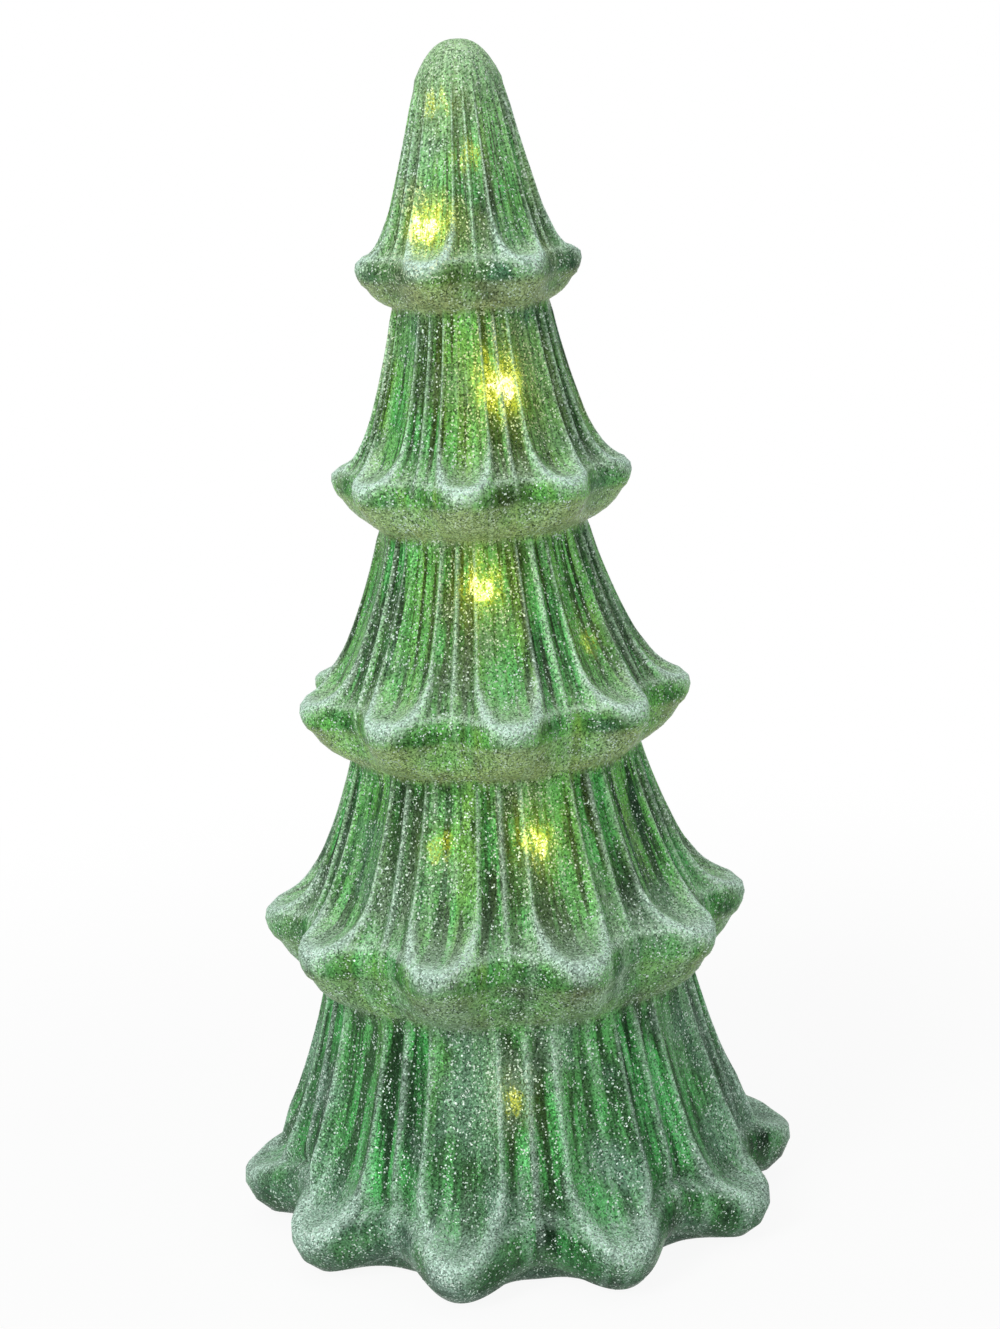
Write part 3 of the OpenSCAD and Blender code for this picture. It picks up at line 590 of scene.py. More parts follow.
def glass_tree():
    """The whole shell: five tiers and the tip outside, a smooth lining inside, and the mouth."""
    inputs = floats(*(f"{tier} {size}" for tier in TIERS for size in TIER_SIZES))
    inputs += floats(*SHARED_SIZES, "Tree Height", *SHELL_SIZES)
    inputs += [("Lights", "NodeSocketObject", None), ("Finish", "NodeSocketMaterial", None)]
    tree, given, out = geometry_tree("Glass Tree", inputs)
    tier_group = tier_tree()
    wall, mouth_r, mouth_h, stand_w = (given[size] for size in SHELL_SIZES)
    inset = wall + given["Flute Depth"]
    shared = {size: given[size] for size in SHARED_SIZES}
    plain = {size: 0.0 for size in SHARED_SIZES}
    outside, inside = [], []
    for i, tier in enumerate(TIERS):
        own = {size: given[f"{tier} {size}"] for size in TIER_SIZES}
        bottom = i == len(TIERS) - 1
        below = None if bottom else TIERS[i + 1]
        next_r = mouth_r + stand_w if bottom else given[f"{below} Top Radius"]
        next_z = 0.0 if bottom else given[f"{below} Top Height"]
        outer = {
            **own, **shared, **OUTER_RINGS, "Next Radius": next_r, "Next Height": next_z,
            "Lip End": BOTTOM_LIP_END if bottom else LIP_END}
        lining = {
            **own, **plain, **LINING_RINGS, "Scoop Depth": 0.0, "Lip End": LIP_END,
            "Top Radius": own["Top Radius"] - inset,
            "Foot Radius": own["Foot Radius"] - inset - own["Scoop Depth"],
            "Rim Radius": own["Rim Radius"] - wall,
            "Lip Rise": own["Lip Rise"] - wall * LINING_LIP,
            "Lip Height": own["Lip Height"] - wall * (BOTTOM_LINING_LIP if bottom else LINING_LIP),
            "Next Radius": mouth_r if bottom else next_r - inset,
            "Next Height": mouth_h if bottom else next_z}
        for side, sizes in ((outside, outer), (inside, lining)):
            side.append(place_group(tree, "GeometryNodeGroup", tier_group, **sizes)["Geometry"])

    crown_r, crown_z = given["Crown Top Radius"], given["Crown Top Height"]
    tip = given["Tree Height"] - crown_z
    outside.append(dome_strip(tree, crown_r, crown_z, tip))
    inside.append(dome_strip(tree, crown_r - inset, crown_z, tip - wall))
    inside.append(mouth_strip(tree, mouth_r, mouth_h, stand_w))
    turned = add(tree, "GeometryNodeFlipFaces", Mesh=joined(outside))
    shell = add(tree, "GeometryNodeMergeByDistance", Geometry=joined([turned, *inside]),
                Distance=MERGE_WITHIN)
    shell = add(tree, "GeometryNodeSetShadeSmooth", Geometry=shell, Shade_Smooth=True)
    shell = stored(shell, "up", separate(add(tree, "GeometryNodeInputNormal"))[2])
    shell = lit_by(tree, shell, turned, given["Lights"], given["Tree Height"])
    completed(shell, given["Finish"], out)
    return tree


# Glitter

GLITTER_LOW = 1.5 * MM  # height at which the glitter begins
CRUMB_SIDES, CRUMB_HEIGHT = 3, 1.1
CRUMBS_BY_FROST = 0.7, 0.9  # share of the crumbs on bare glass, and what frost adds
FACING_FROM, FACING_UP = 100 * MM, 0.2  # height that the outside faces away from, and its weight


def glitter_tree():
    """Crumbs of clear glitter scattered over the outside of the shell."""
    inputs = [("Shell", "NodeSocketObject", None), ("Seed", "NodeSocketInt", 0),
              ("Finish", "NodeSocketMaterial", None), *floats("Crumbs", "Smallest", "Largest", "Lowest")]
    tree, given, out = geometry_tree("Glitter Dust", inputs)
    x, y, z = separate(add(tree, "GeometryNodeInputPosition"))
    outer = separate(add(tree, "GeometryNodeInputNormal"))
    facing = x * outer[0] + y * outer[1] + (z - FACING_FROM) * outer[2] * FACING_UP
    dusted = facing.over(0.0) * z.over(given["Lowest"])
    density = given["Crumbs"] * on_points(tree, "frost").line(*CRUMBS_BY_FROST) * dusted
    points = add(tree, "GeometryNodeDistributePointsOnFaces", "Points", {"distribute_method": "RANDOM"},
                 Mesh=add(tree, "GeometryNodeObjectInfo", "Geometry", Object=given["Shell"]),
                 Density=density, Seed=given["Seed"])

    def random(kind, low, high, offset):
        node = tree.nodes.new("FunctionNodeRandomValue")
        node.data_type = kind
        sockets = [s for s in node.inputs if s.enabled]
        plug(low, sockets[0])
        plug(high, sockets[1])
        plug(given["Seed"] + float(offset), next(s for s in sockets if s.name == "Seed"))
        return next(s for s in node.outputs if s.enabled)

    crumb = add(tree, "GeometryNodeMeshCone", "Mesh", Vertices=CRUMB_SIDES, Radius_Top=0.0,
                Radius_Bottom=1.0, Depth=CRUMB_HEIGHT)
    tumbled = add(tree, "FunctionNodeEulerToRotation",
                  Euler=random("FLOAT_VECTOR", (0, 0, 0), (math.tau,) * 3, 1))
    size = random("FLOAT", given["Smallest"], given["Largest"], 2)
    crumbs = add(tree, "GeometryNodeInstanceOnPoints", Points=points, Instance=crumb,
                 Rotation=tumbled, Scale=combine(size, size, size))
    crumbs = stored(crumbs, "tint", random("FLOAT", 0.0, 1.0, 3), "INSTANCE")
    completed(crumbs, given["Finish"], out)
    return tree


# Materials

def new_material(name, **constants):
    """A material with one Principled BSDF whose constant sockets are set here."""
    material = bpy.data.materials.new(name)
    material.use_nodes = True
    tree = material.node_tree
    shader = next(n for n in tree.nodes if n.type == "BSDF_PRINCIPLED")
    feed(shader.inputs, **constants)
    return material, tree, shader.inputs


def object_place(tree):
    return add(tree, "ShaderNodeTexCoord", "Object")


def attribute(tree, name):
    return Value(add(tree, "ShaderNodeAttribute", "Fac", {"attribute_name": name}))


def mixed(factor, a, b, blend="MIX"):
    """A colour between two others."""
    node = tree_of(factor, a, b).nodes.new("ShaderNodeMix")
    node.data_type = "RGBA"
    node.blend_type = blend
    plug(factor, node.inputs["Factor"])
    for value, socket in zip((a, b), (s for s in node.inputs if s.type == "RGBA")):
        plug(value, socket)
    return next(s for s in node.outputs if s.type == "RGBA")


# Shader groups

GRAIN_VALUES = ("First", "Second", "Third")
GRAIN_SCALE, SMUDGE_SCALE = 900.0, 60.0

# Light spots: how ragged their edges are, and how far and how strongly they shine
RAGGED_DEPTH, CORE_REACH, HALO_REACH = mm(9, 1.8, 14)
HALO_FALL, CORE_SHARE, HALO_SHARE = 3.5, 0.85, 0.40
GLOW_COLOURS = ((0.0, (0, 0, 0, 1)), (0.10, (0.07, 0.09, 0.003, 1)), (0.30, (0.50, 0.52, 0.02, 1)),
                (0.60, (1.0, 0.88, 0.16, 1)), (1.0, (1.0, 1.0, 0.80, 1)))


def grain_group():
    """Grains of glitter: three random values for each grain, and a normal that leans its own way."""
    outputs = [(name, "NodeSocketFloat") for name in GRAIN_VALUES]
    tree, given, out = new_tree("ShaderNodeTree", "Glitter Grain", floats("Grains per Metre", "Lean"),
                                [*outputs, ("Normal", "NodeSocketVector")])
    cells = add(tree, "ShaderNodeTexVoronoi", "Color", Vector=object_place(tree),
                Scale=given["Grains per Metre"])
    values = separate(cells)
    for name, value in zip(GRAIN_VALUES, values):
        plug(value, out[name])
    lean = combine(*((value - 0.5) * given["Lean"] for value in values))
    normal = add(tree, "ShaderNodeNewGeometry", "Normal")
    turned = math_node("ADD", normal, lean, kind="ShaderNodeVectorMath")
    plug(math_node("NORMALIZE", turned, kind="ShaderNodeVectorMath"), out["Normal"])
    return tree


def wear_group():
    """Smudges and fine grain, for handled and moulded surfaces."""
    tree, given, out = new_tree(
        "ShaderNodeTree", "Handled Surface",
        floats("Grain Scale", default=GRAIN_SCALE) + floats("Smudge Scale", default=SMUDGE_SCALE),
        [("Grain", "NodeSocketFloat"), ("Smudge", "NodeSocketFloat")])
    here = object_place(tree)
    plug(noise(here, given["Grain Scale"], detail=3.0), out["Grain"])
    smudge = noise(here, given["Smudge Scale"], detail=4.0)
    plug(smudge.smooth(low=0.35, high=0.7), out["Smudge"])
    return tree


def lamp_group():
    """The lights behind the glass: small bright spots in a wider speckled halo."""
    tree, given, out = new_tree("ShaderNodeTree", "Lamp Glow", floats("Grain"),
                                [("Glow", "NodeSocketColor")])
    ragged = noise(object_place(tree), scale=420.0, stretch=(1, 1, 0.2)) - 0.5
    to_light = attribute(tree, "to_light") + ragged * RAGGED_DEPTH
    core = to_light.smooth(CORE_REACH, 0.0)
    halo = to_light.smooth(HALO_REACH, 0.0).math("POWER", HALO_FALL)
    light = attribute(tree, "lit") * (core * CORE_SHARE + halo * HALO_SHARE)
    light = light * given["Grain"].line(base=0.25, slope=1.5)
    ramp = tree.nodes.new("ShaderNodeValToRGB")
    elements = ramp.color_ramp.elements
    darkest, *between, brightest = GLOW_COLOURS
    for element, (place, shade) in zip(elements, (darkest, brightest)):
        element.position = place
        element.color = shade
    for place, shade in between:
        elements.new(place).color = shade
    plug(light, ramp.inputs["Fac"])
    plug(ramp.outputs["Color"], out["Glow"])
    return tree


GROUPS = {}


def effect(tree, maker, **values):
    """Places a shared shader group, built at its first use, and returns its outputs."""
    if maker not in GROUPS:
        GROUPS[maker] = maker()
    return place_group(tree, "ShaderNodeGroup", GROUPS[maker], **values)


def worn(tree, grain_scale=GRAIN_SCALE):
    """The fine grain and the smudges of a handled surface."""
    wear = effect(tree, wear_group, Grain_Scale=grain_scale)
    return Value(wear["Grain"]), Value(wear["Smudge"])


# Finish of the glass

UPPER_TIERS, CROWN_LIP = mm(30, 140), mm(250, 290)  # heights between which their finish begins
STREAK_RADIUS = 0.08  # radius at which the streaks down the glass have their nominal width
STREAK_DRIFT = 0.10  # how fast the streaks change down the glass
DARK_CROWN_LIP, DARK_BOTTOM_LIP, LEAST_SHINE, LEAST_COVER = 0.15, 0.12, 0.3, 0.01
FROST_TIP, FOOT_SHADE = 70.0 * MM, mm(16, 1)
# Reaches of the painted lamp light: warmer glass, and gold grains of glitter.
WARM_REACH, GOLD_REACH, GOLD_SHARE = mm(30, 2), mm(22, 3), 0.9
# How much dust, clumps and nearby lights add to the chance of a painted glint.
SPARKLE_DUST, SPARKLE_CLUMPS, SPARKLE_GOLD = 0.03, 0.25, 0.10
CRUMB_PALE, CRUMB_FROST, CRUMB_TINT = 0.3, 0.5, 0.3


def glitter_glass(finish):
    """Green glass, silvered inside, under fine clear glitter, with the lights glowing through; painted
    shade, reflections and glints are in its colour.
    """
    material, tree, shader = new_material(
        "GlitterGlass", Metallic=0.15, Coat_Weight=0.04, Coat_Roughness=0.10, IOR=1.5,
        Emission_Strength=1.0, Specular_IOR_Level=0.06, Specular_Tint=(0.35, 0.60, 0.40))
    frost, up, depth, narrow, lip, lit, to_light = (attribute(tree, name) for name in (
        "frost", "up", "depth", "narrow", "lip", "lit", "to_light"))
    grain = effect(tree, grain_group, Grains_per_Metre=2300.0, Lean=0.7)
    first, second, third = (Value(grain[name]) for name in GRAIN_VALUES)
    here = object_place(tree)
    x, y, height = separate(here)
    upper, crown = height.smooth(*UPPER_TIERS), height.smooth(*CROWN_LIP)
    out = (x * x + y * y).math("SQRT").at_least(MM)
    spokes = combine(x / out * STREAK_RADIUS, y / out * STREAK_RADIUS, height * STREAK_DRIFT)
    streaks = noise(spokes, scale=240.0, detail=3.0)
    patches = noise(here, scale=95.0, detail=3.0)
    clouds = noise(here, scale=38.0)

    # The glass: dark and open streaks on the skirts, patches on the lips, painted shade in the narrow
    # flutes and painted reflections in the scoops
    striped = streaks.smooth(low=0.35, high=0.59).at_least(upper.line(base=0.34, slope=-0.30))
    lip_glass = patches - DARK_CROWN_LIP * crown - DARK_BOTTOM_LIP * (1.0 - upper)
    open_glass = striped.towards(lip_glass.smooth(low=0.20, high=0.62), lip)
    leaf = mixed(upper, finish.leaf_green, finish.lit_green)
    green = mixed(open_glass, finish.deep_green, leaf)
    golden = noise(spokes, scale=110.0).smooth(low=0.50, high=0.68)
    blotches = noise(here, scale=140.0, stretch=(1, 1, 0.6)).smooth(low=0.50, high=0.66)
    # Painted reflection: bright streaks where the silvering would shine, strongest in the scoops and
    # flutes.
    painted_shine = clouds.smooth(low=0.42, high=0.64) * streaks.smooth(low=0.40, high=0.60)
    below = up.smooth(low=-0.15, high=-0.75)
    for pattern, share, tint in (
            (golden * upper * open_glass, 0.5, finish.olive),
            (blotches * upper, 0.6, finish.deep_green),
            ((1.0 - clouds).smooth(low=0.45, high=0.65), 0.5, finish.teal),
            # Painted shade: the narrow flutes darkened.
            (narrow, upper.line(base=0.70, slope=0.22), finish.deep_green),
            (painted_shine, (LEAST_SHINE + depth.at_least(narrow)).clamped(), finish.bright_green),
            (to_light.smooth(*WARM_REACH) * lit, 0.4, finish.olive),
            (below * upper, 0.7, finish.under_glow)):
        green = mixed(pattern * share, green, tint)

    # The glitter over it, grain by grain, with painted shade near the table and painted glints
    dusty = (1.0 - clouds).smooth(low=0.48, high=0.64) * upper.line(base=1.0, slope=-0.6)
    cover = LEAST_COVER
    for pattern, share in (
            (streaks.smooth(low=0.54, high=0.70), 0.22),
            (height.smooth(low=TREE_HEIGHT - FROST_TIP, high=TREE_HEIGHT), 0.25),
            (below, 0.08),
            (dusty, 0.16),
            (frost, upper.line(base=0.55, slope=0.2)),
            # Faces that look up get more pale cover: partly glitter lying on them, partly painted light
            # from above.
            (up.smooth(low=0.25, high=0.85), upper.line(base=0.12, slope=0.2))):
        cover = pattern * share + cover
    covered = (cover * first.line(base=0.4, slope=1.2)).clamped()
    frosted = mixed(upper * (1.0 - frost).clamped(), finish.frost, finish.warm_frost)
    base = mixed(covered, green, frosted)
    base = mixed(1.0, base, combine(*[third.line(base=0.42, slope=0.9)] * 3), "MULTIPLY")
    # Painted lamp light: nearness and brightness of the nearest light spot, which turns grains gold and
    # makes more of them glint.
    painted_lamp_light = (to_light.smooth(*GOLD_REACH) * lit * GOLD_SHARE).clamped()
    clumps = noise(here, scale=260.0) - 0.5
    # Chance of a painted glint for each grain.
    painted_glint_chance = second + SPARKLE_DUST * dusty + SPARKLE_CLUMPS * clumps + SPARKLE_GOLD * painted_lamp_light
    for pattern, share, tint in (
            ((1.0 - third).smooth(low=0.80, high=0.95), frost.line(base=0.35, slope=-0.245),
             finish.deep_green),
            # Painted shade: darker just above the table.
            (height.smooth(*FOOT_SHADE), patches.line(base=0.35, slope=0.5), finish.deep_green),
            # Painted glints, gold near the lights.
            (painted_glint_chance.smooth(low=0.90, high=1.0), 1.0, mixed(painted_lamp_light, finish.sparkle, finish.gold))):
        base = mixed(pattern * share, base, tint)
    feed(shader, Base_Color=base, Roughness=covered.line(base=0.28, slope=0.30), Normal=grain["Normal"],
         Emission_Color=effect(tree, lamp_group, Grain=second)["Glow"])
    return material


def glitter_crumb(finish):
    """Crumbs of clear glitter, from green to frosted, with a few painted white as glints."""
    material, tree, shader = new_material("GlitterCrumb", Metallic=0.1, Coat_Weight=0.5,
                                          Coat_Roughness=0.1, IOR=1.5, Emission_Strength=1.0)
    tint, frost = attribute(tree, "tint"), attribute(tree, "frost")
    pale = CRUMB_PALE + CRUMB_FROST * frost + CRUMB_TINT * tint
    base = mixed(pale, finish.leaf_green, finish.frost)
    # Painted glints: the crumbs of highest tint are painted near white.
    base = mixed(tint.smooth(low=0.6, high=1.0), base, finish.sparkle)
    feed(shader, Base_Color=base, Roughness=tint.line(base=0.15, slope=0.35),
         Emission_Color=effect(tree, lamp_group, Grain=tint)["Glow"])
    return material


# Finishes of the base and the lights

MOULDED_SHADES, PLATED_SHADES = (0.72, 1.22, 0.008), (0.78, 1.08)
MOULDED_GRAIN, MOULDED_SMUDGE, SMUDGE_GLOSS = 0.6, 0.4, 0.14
PLATED_TONE, PLATED_GLOSS, ROLLING_GLOSS = 0.5, 0.18, 0.1
BAND_EDGE = mm(8.9, 9.1)  # where along a cell its copper-coloured band begins
BUTTON_END, FLAT_END, SLEEVE_METAL = mm(25.6, 25.7), mm(-21.0, -21.2), 0.9
TRACK_SLANT, TRACKS_PER_METRE, TRACK_STEP, TRACK_WIDTH, TRACK_SHARE = 0.6, 420.0, 0.5, 0.16, 0.8


def shades(rgb, dark, pale, lift=0.0):
    """A darker and a paler shade of a colour."""
    return [v * dark for v in rgb], [min(1.0, v * pale + lift) for v in rgb]


def moulded(name, rgb, roughness, grain_scale=GRAIN_SCALE, grain_depth=0.05 * MM, **constants):
    """Moulded plastic or rubber with a fine grain and a few smudges."""
    material, tree, shader = new_material(name, **constants)
    grain, smudge = worn(tree, grain_scale)
    tone = (MOULDED_GRAIN * grain + MOULDED_SMUDGE * smudge).clamped()
    relief = add(tree, "ShaderNodeBump", Height=grain, Strength=0.35, Distance=grain_depth)
    feed(shader, Base_Color=mixed(tone, *shades(rgb, *MOULDED_SHADES)), Normal=relief,
         Roughness=roughness + SMUDGE_GLOSS * (smudge - 0.5))
    return material


def plated(name, rgb, roughness):
    """Plated metal with fine rolling marks."""
    material, tree, shader = new_material(name, Metallic=1.0)
    marks = noise(object_place(tree), scale=2600.0, stretch=(1, 0.06, 1))
    smudge = worn(tree)[1]
    tone = (PLATED_TONE * marks + PLATED_TONE * smudge).clamped()
    feed(shader, Base_Color=mixed(tone, *shades(rgb, *PLATED_SHADES)),
         Roughness=roughness + PLATED_GLOSS * smudge + ROLLING_GLOSS * (marks - 0.5))
    return material


def cell_sleeve(name, towards):
    """A cell's plain sleeve with a copper-coloured band at its button end, towards +X or -X."""
    material, tree, shader = new_material(name, Coat_Weight=0.4, Coat_Roughness=0.15)
    along = separate(object_place(tree))[0] * float(towards)
    grain = worn(tree, grain_scale=700.0)[0]
    band = along.smooth(*BAND_EDGE)
    bare = along.smooth(*BUTTON_END).at_least(along.smooth(*FLAT_END))
    sleeve = mixed(grain, (0.012, 0.013, 0.016), (0.030, 0.032, 0.038))
    copper = mixed(grain, (0.42, 0.20, 0.08), (0.58, 0.30, 0.13))
    steel = mixed(grain, (0.45, 0.45, 0.45), (0.62, 0.62, 0.62))
    feed(shader, Base_Color=mixed(bare, mixed(band, sleeve, copper), steel),
         Metallic=band.at_least(bare) * SLEEVE_METAL, Roughness=grain.line(base=0.28, slope=0.12))
    return material


def circuit_board():
    """Solder mask with paler tracks."""
    material, tree, shader = new_material("BoardGreen", Coat_Weight=0.5, Coat_Roughness=0.2)
    here = object_place(tree)
    x, y, _ = separate(here)
    bends = noise(here, scale=160.0, detail=1.0).math("ROUND") * TRACK_STEP
    tracks = ((x * TRACK_SLANT + y) * TRACKS_PER_METRE + bends).math("FRACT")
    track = (tracks - 0.5).hat(TRACK_WIDTH)
    grain = worn(tree, grain_scale=1200.0)[0]
    mask = mixed(grain, (0.008, 0.085, 0.030), (0.015, 0.13, 0.045))
    relief = add(tree, "ShaderNodeBump", Height=track, Strength=0.4, Distance=0.05 * MM)
    feed(shader, Base_Color=mixed(track * TRACK_SHARE, mask, (0.05, 0.25, 0.09)),
         Roughness=grain.line(base=0.3, slope=0.2), Normal=relief)
    return material


def clear_acrylic():
    """The clear stem, with faint drawing lines."""
    material, tree, shader = new_material("ClearAcrylic", Transmission_Weight=0.85, IOR=1.49)
    lines = noise(object_place(tree), scale=900.0, stretch=(1, 1, 0.04))
    feed(shader, Base_Color=mixed(lines, (0.82, 0.88, 0.86), (0.95, 0.98, 0.97)),
         Roughness=lines.line(base=0.06, slope=0.12))
    return material


def light_resin():
    """Drops of resin that glow in a warm light."""
    material, tree, shader = new_material("LightResin", Emission_Strength=1.5, Coat_Weight=0.5)
    spots = noise(object_place(tree), scale=700.0)
    feed(shader, Base_Color=mixed(spots, (0.95, 0.75, 0.38), (1.0, 0.92, 0.70)),
         Emission_Color=mixed(spots, (1.0, 0.66, 0.22), (1.0, 0.88, 0.55)),
         Roughness=spots.line(base=0.12, slope=0.1))
    return material


def dressed(material, *names):
    """Gives CAD nodes a material."""
    for name in names:
        slots = NODES[name].data.materials
        slots.clear()
        slots.append(material)


# Operators

def sizes_by_label(group, labels):
    """Settings of a group by the labels of the node inputs that they go to."""
    return {label: getattr(group, label.lower().replace(" ", "_")) for label in labels}


class GLASSTREE_OT_shell(bpy.types.Operator):
    """Blow the fluted glass shell"""
    bl_idname = "glass_tree.shell"
    bl_label = "Glass Shell"

    def execute(self, context):
        sizes = context.scene.glass_sizes
        values = sizes_by_label(sizes, SHARED_SIZES + SHELL_SIZES)
        for label, by_tier in sizes_by_label(sizes, TIER_SIZES).items():
            values.update({f"{tier} {label}": value for tier, value in zip(TIERS, by_tier)})
        values.update({"Tree Height": TREE_HEIGHT, "Lights": NODES["led_beads"]})
        material = glitter_glass(context.scene.tree_finishes)
        shell = made_mesh("glass_shell_fluted", glass_tree(), values, material)
        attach(shell, "tree")
        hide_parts("glass_shell")
        return {"FINISHED"}


class GLASSTREE_OT_glitter(bpy.types.Operator):
    """Dust the shell with crumbs of clear glitter"""
    bl_idname = "glass_tree.glitter"
    bl_label = "Glitter"

    def execute(self, context):
        sizes = context.scene.glitter_sizes
        values = sizes_by_label(sizes, ("Smallest", "Largest", "Seed"))
        values.update({"Shell": bpy.data.objects["glass_shell_fluted"], "Crumbs": float(sizes.crumbs),
                       "Lowest": GLITTER_LOW})
        material = glitter_crumb(context.scene.tree_finishes)
        dust = made_mesh("glitter_dust", glitter_tree(), values, material)
        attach(dust, "tree")
        return {"FINISHED"}


class GLASSTREE_OT_base(bpy.types.Operator):
    """Finish the moulded pieces of the base"""
    bl_idname = "glass_tree.base"
    bl_label = "Base Mouldings"

    def execute(self, context):
        dressed(moulded("BasePlastic", (0.020, 0.075, 0.035), roughness=0.55, grain_depth=0.12 * MM),
                "base_plate", "battery_door")
        dressed(moulded("BoxPlastic", (0.62, 0.62, 0.60), roughness=0.5), "battery_box")
        dressed(moulded("Silicone", (0.66, 0.66, 0.63), roughness=0.42, grain_scale=220.0),
                "silicone_seal")
        dressed(moulded("KnobBlack", (0.020, 0.020, 0.021), roughness=0.45), "switch_knob")
        return {"FINISHED"}


class GLASSTREE_OT_metal(bpy.types.Operator):
    """Finish the screws, the pin, the contacts and the springs"""
    bl_idname = "glass_tree.metal"
    bl_label = "Metal Fittings"

    def execute(self, context):
        dressed(plated("ScrewSteel", (0.60, 0.60, 0.61), roughness=0.30), "box_screws", "board_screws",
                "hinge_pin")
        dressed(plated("ContactNickel", (0.70, 0.68, 0.63), roughness=0.18), "positive_contact",
                "negative_contact", "left_link_contact", "right_link_contact", "contact_springs",
                "timer_crystal", "switch_body")
        return {"FINISHED"}


class GLASSTREE_OT_cells(bpy.types.Operator):
    """Finish the three cells"""
    bl_idname = "glass_tree.cells"
    bl_label = "Cells"

    def execute(self, context):
        dressed(cell_sleeve("CellSleeve", towards=1), "battery_1", "battery_3")
        dressed(cell_sleeve("CellSleeveTurned", towards=-1), "battery_2")
        return {"FINISHED"}


class GLASSTREE_OT_timer(bpy.types.Operator):
    """Finish the timer board and what is soldered to it"""
    bl_idname = "glass_tree.timer"
    bl_label = "Timer Board"

    def execute(self, context):
        dressed(circuit_board(), "timer_board")
        dressed(moulded("ChipBlack", (0.018, 0.018, 0.019), roughness=0.6, grain_scale=2500.0),
                "timer_chip", "chip_resistors")
        dressed(moulded("CapacitorSleeve", (0.020, 0.026, 0.10), roughness=0.3, Coat_Weight=0.4),
                "filter_capacitor")
        dressed(moulded("LeadRed", (0.42, 0.018, 0.018), roughness=0.38, grain_scale=1800.0), "red_lead")
        dressed(moulded("LeadBlack", (0.016, 0.016, 0.017), roughness=0.38, grain_scale=1800.0),
                "black_lead")
        return {"FINISHED"}


class GLASSTREE_OT_lights(bpy.types.Operator):
    """Finish the stem and the string of lights"""
    bl_idname = "glass_tree.lights"
    bl_label = "Light String"

    def execute(self, context):
        dressed(clear_acrylic(), "light_stem", "stem_cap")
        dressed(plated("CopperWire", (0.72, 0.36, 0.17), roughness=0.28), "light_wire")
        dressed(light_resin(), "led_beads")
        return {"FINISHED"}


# Stage

# Each lamp's name, its place and its width and height
KEY_LAMP = "Key", (-0.75, -0.95, 0.95), (0.45, 0.9)
FILL_LAMP = "Fill", (0.95, -0.75, 0.5), (0.4, 0.9)
TOP_LAMP = "Top", (0.0, 0.1, 1.3), (0.9, 0.9)
LAMP_AIM = 0.45  # share of the tree's height that the lamps point at
FLOOR_HALF, FLOOR_DROP, FLOOR_GREY = 60.0, 0.4 * MM, (0.93, 0.93, 0.93)
FLOOR_FADE = 0.14, 0.50  # distances over which the table turns into the background
FLOOR_WHITE = 0.92, 0.08  # how white the table is seen near the tree, and what the distance adds


def area_lamp(name, place, size, power):
    lamp = bpy.data.lights.new(name, "AREA")
    lamp.shape = "RECTANGLE"
    lamp.size, lamp.size_y = size
    lamp.energy = power
    holder = bpy.data.objects.new(name, lamp)
    holder.location = place
    target = Vector((0, 0, TREE_HEIGHT * LAMP_AIM))
    holder.rotation_euler = (target - Vector(place)).to_track_quat("-Z", "Y").to_euler()
    bpy.context.scene.collection.objects.link(holder)


def seen_directly(tree):
    """1 for rays that show the background itself: straight, reflected or through clear pieces."""
    path = tree.nodes.new("ShaderNodeLightPath").outputs
    return Value(path["Is Camera Ray"]).at_least(path["Is Glossy Ray"]).at_least(
        path["Is Transmission Ray"])


def studio_floor():
    """A pale table top that turns into the white background away from the tree."""
    mesh = bpy.data.meshes.new("table_top")
    corners = [(x * FLOOR_HALF, y * FLOOR_HALF, -FLOOR_DROP)
               for x, y in ((-1, -1), (1, -1), (1, 1), (-1, 1))]
    mesh.from_pydata(corners, [], [(0, 1, 2, 3)])
    floor = bpy.data.objects.new("table_top", mesh)
    bpy.context.scene.collection.objects.link(floor)
    material, tree, shader = new_material("TableTop", Roughness=0.8, Base_Color=FLOOR_GREY)
    leave = next(n for n in tree.nodes if n.type == "OUTPUT_MATERIAL")
    x, y, _ = separate(object_place(tree))
    away = (x * x + y * y).math("SQRT").smooth(*FLOOR_FADE)
    white = add(tree, "ShaderNodeEmission", Color=(1, 1, 1, 1), Strength=1.0)
    blend = tree.nodes.new("ShaderNodeMixShader")
    plug(away.line(*FLOOR_WHITE) * seen_directly(tree), blend.inputs[0])
    plug(shader["Base Color"].node.outputs[0], blend.inputs[1])
    plug(white, blend.inputs[2])
    plug(blend.outputs[0], leave.inputs["Surface"])
    mesh.materials.append(material)


def studio_world(ambient):
    """A world that is seen white and lights the tree more softly."""
    world = bpy.data.worlds.new("Studio")
    world.use_nodes = True
    tree = world.node_tree
    background = next(n for n in tree.nodes if n.type == "BACKGROUND")
    strength = seen_directly(tree).line(ambient, 1.0 - ambient)
    feed(background.inputs, Color=(1, 1, 1, 1), Strength=strength)
    bpy.context.scene.world = world


def studio_camera(stage):
    """The camera at the photograph's angle."""
    camera = bpy.data.objects.new("Camera", bpy.data.cameras.new("Camera"))
    camera.data.lens = stage.lens
    place = Matrix.Translation((0, -stage.distance, stage.height))
    for angle, axis in ((-stage.yaw, "Z"), (math.pi / 2 - stage.pitch, "X"), (-stage.roll, "Z")):
        place = place @ Matrix.Rotation(angle, 4, axis)
    camera.matrix_world = place
    bpy.context.scene.collection.objects.link(camera)
    bpy.context.scene.camera = camera


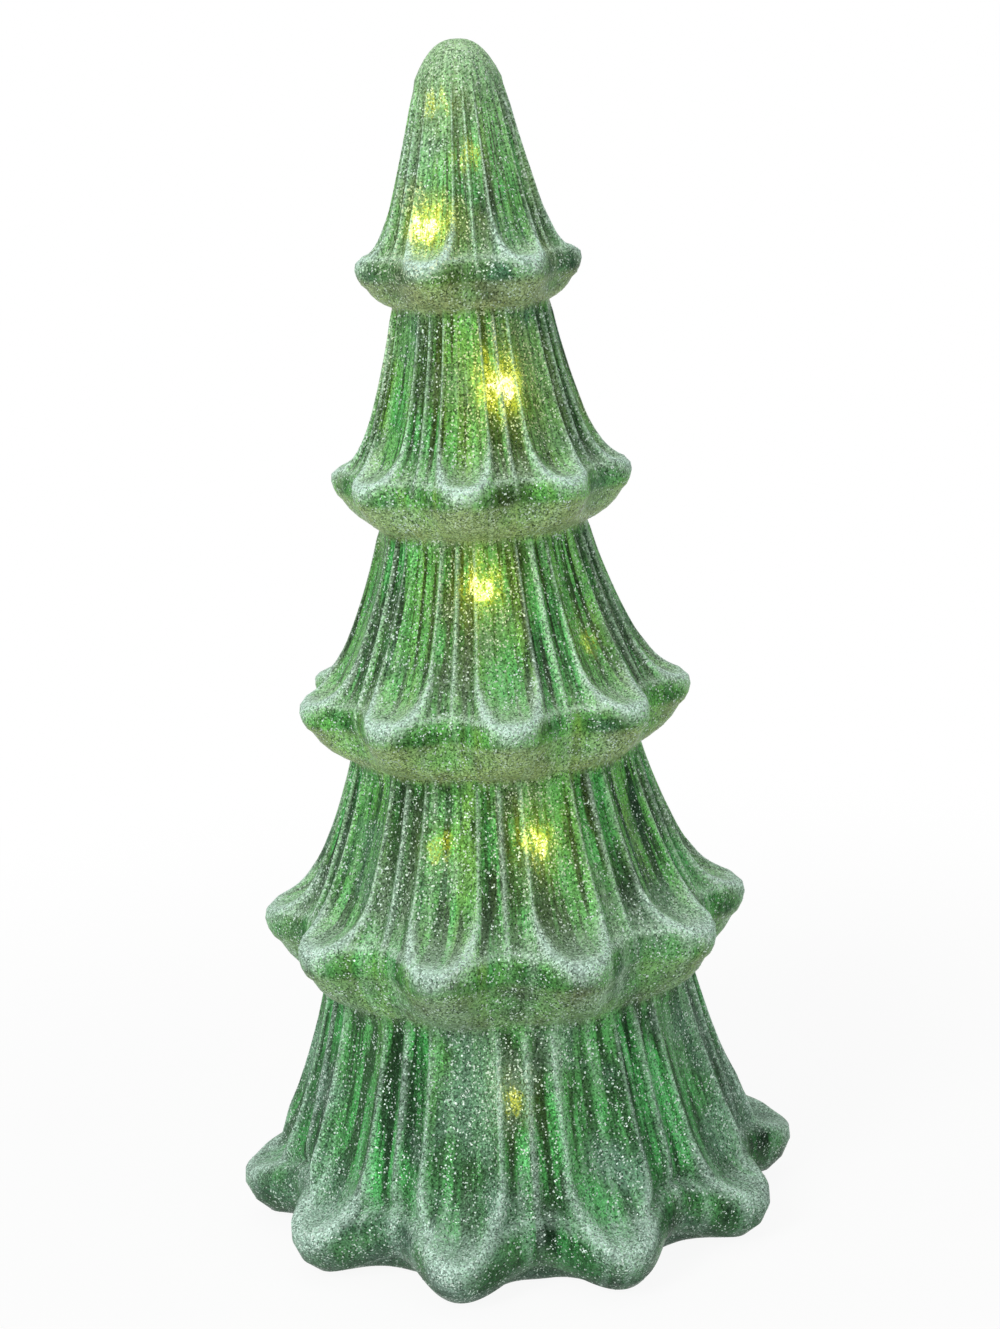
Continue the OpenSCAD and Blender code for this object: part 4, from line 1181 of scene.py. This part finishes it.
class GLASSTREE_OT_stage(bpy.types.Operator):
    """Set up the table, the lamps, the background and the camera"""
    bl_idname = "glass_tree.stage"
    bl_label = "Stage"

    def execute(self, context):
        stage = context.scene.tree_stage
        context.scene.view_settings.view_transform = "Standard"
        area_lamp(*KEY_LAMP, stage.key_power)
        area_lamp(*FILL_LAMP, stage.fill_power)
        area_lamp(*TOP_LAMP, stage.top_power)
        studio_floor()
        studio_world(stage.ambient)
        studio_camera(stage)
        return {"FINISHED"}


# Add-on

PIECE_OPERATORS = (GLASSTREE_OT_shell, GLASSTREE_OT_glitter, GLASSTREE_OT_base, GLASSTREE_OT_metal,
                   GLASSTREE_OT_cells, GLASSTREE_OT_timer, GLASSTREE_OT_lights, GLASSTREE_OT_stage)
SETTINGS = {"glass_sizes": GlassSizes, "glitter_sizes": GlitterSizes, "tree_finishes": Finishes,
            "tree_stage": StageSettings}


class GLASSTREE_PT_panel(bpy.types.Panel):
    """Lists the pieces of the glass tree and their settings"""
    bl_idname = "GLASSTREE_PT_panel"
    bl_label = "Glass Tree"
    bl_space_type = "VIEW_3D"
    bl_region_type = "UI"
    bl_category = "Glass Tree"

    def draw(self, context):
        for operator in PIECE_OPERATORS:
            self.layout.operator(operator.bl_idname)
        for name, settings in SETTINGS.items():
            box = self.layout.box()
            for key in settings.__annotations__:
                box.prop(getattr(context.scene, name), key)


def register():
    for cls in (*SETTINGS.values(), *PIECE_OPERATORS, GLASSTREE_PT_panel):
        bpy.utils.register_class(cls)
    for name, settings in SETTINGS.items():
        setattr(bpy.types.Scene, name, PointerProperty(type=settings))


def unregister():
    for name in SETTINGS:
        delattr(bpy.types.Scene, name)
    for cls in (GLASSTREE_PT_panel, *reversed(PIECE_OPERATORS), *SETTINGS.values()):
        bpy.utils.unregister_class(cls)


def main():
    register()
    bpy.ops.glass_tree.shell()
    bpy.ops.glass_tree.glitter()
    bpy.ops.glass_tree.base()
    bpy.ops.glass_tree.metal()
    bpy.ops.glass_tree.cells()
    bpy.ops.glass_tree.timer()
    bpy.ops.glass_tree.lights()
    bpy.ops.glass_tree.stage()


if __name__ == "__main__":
    main()
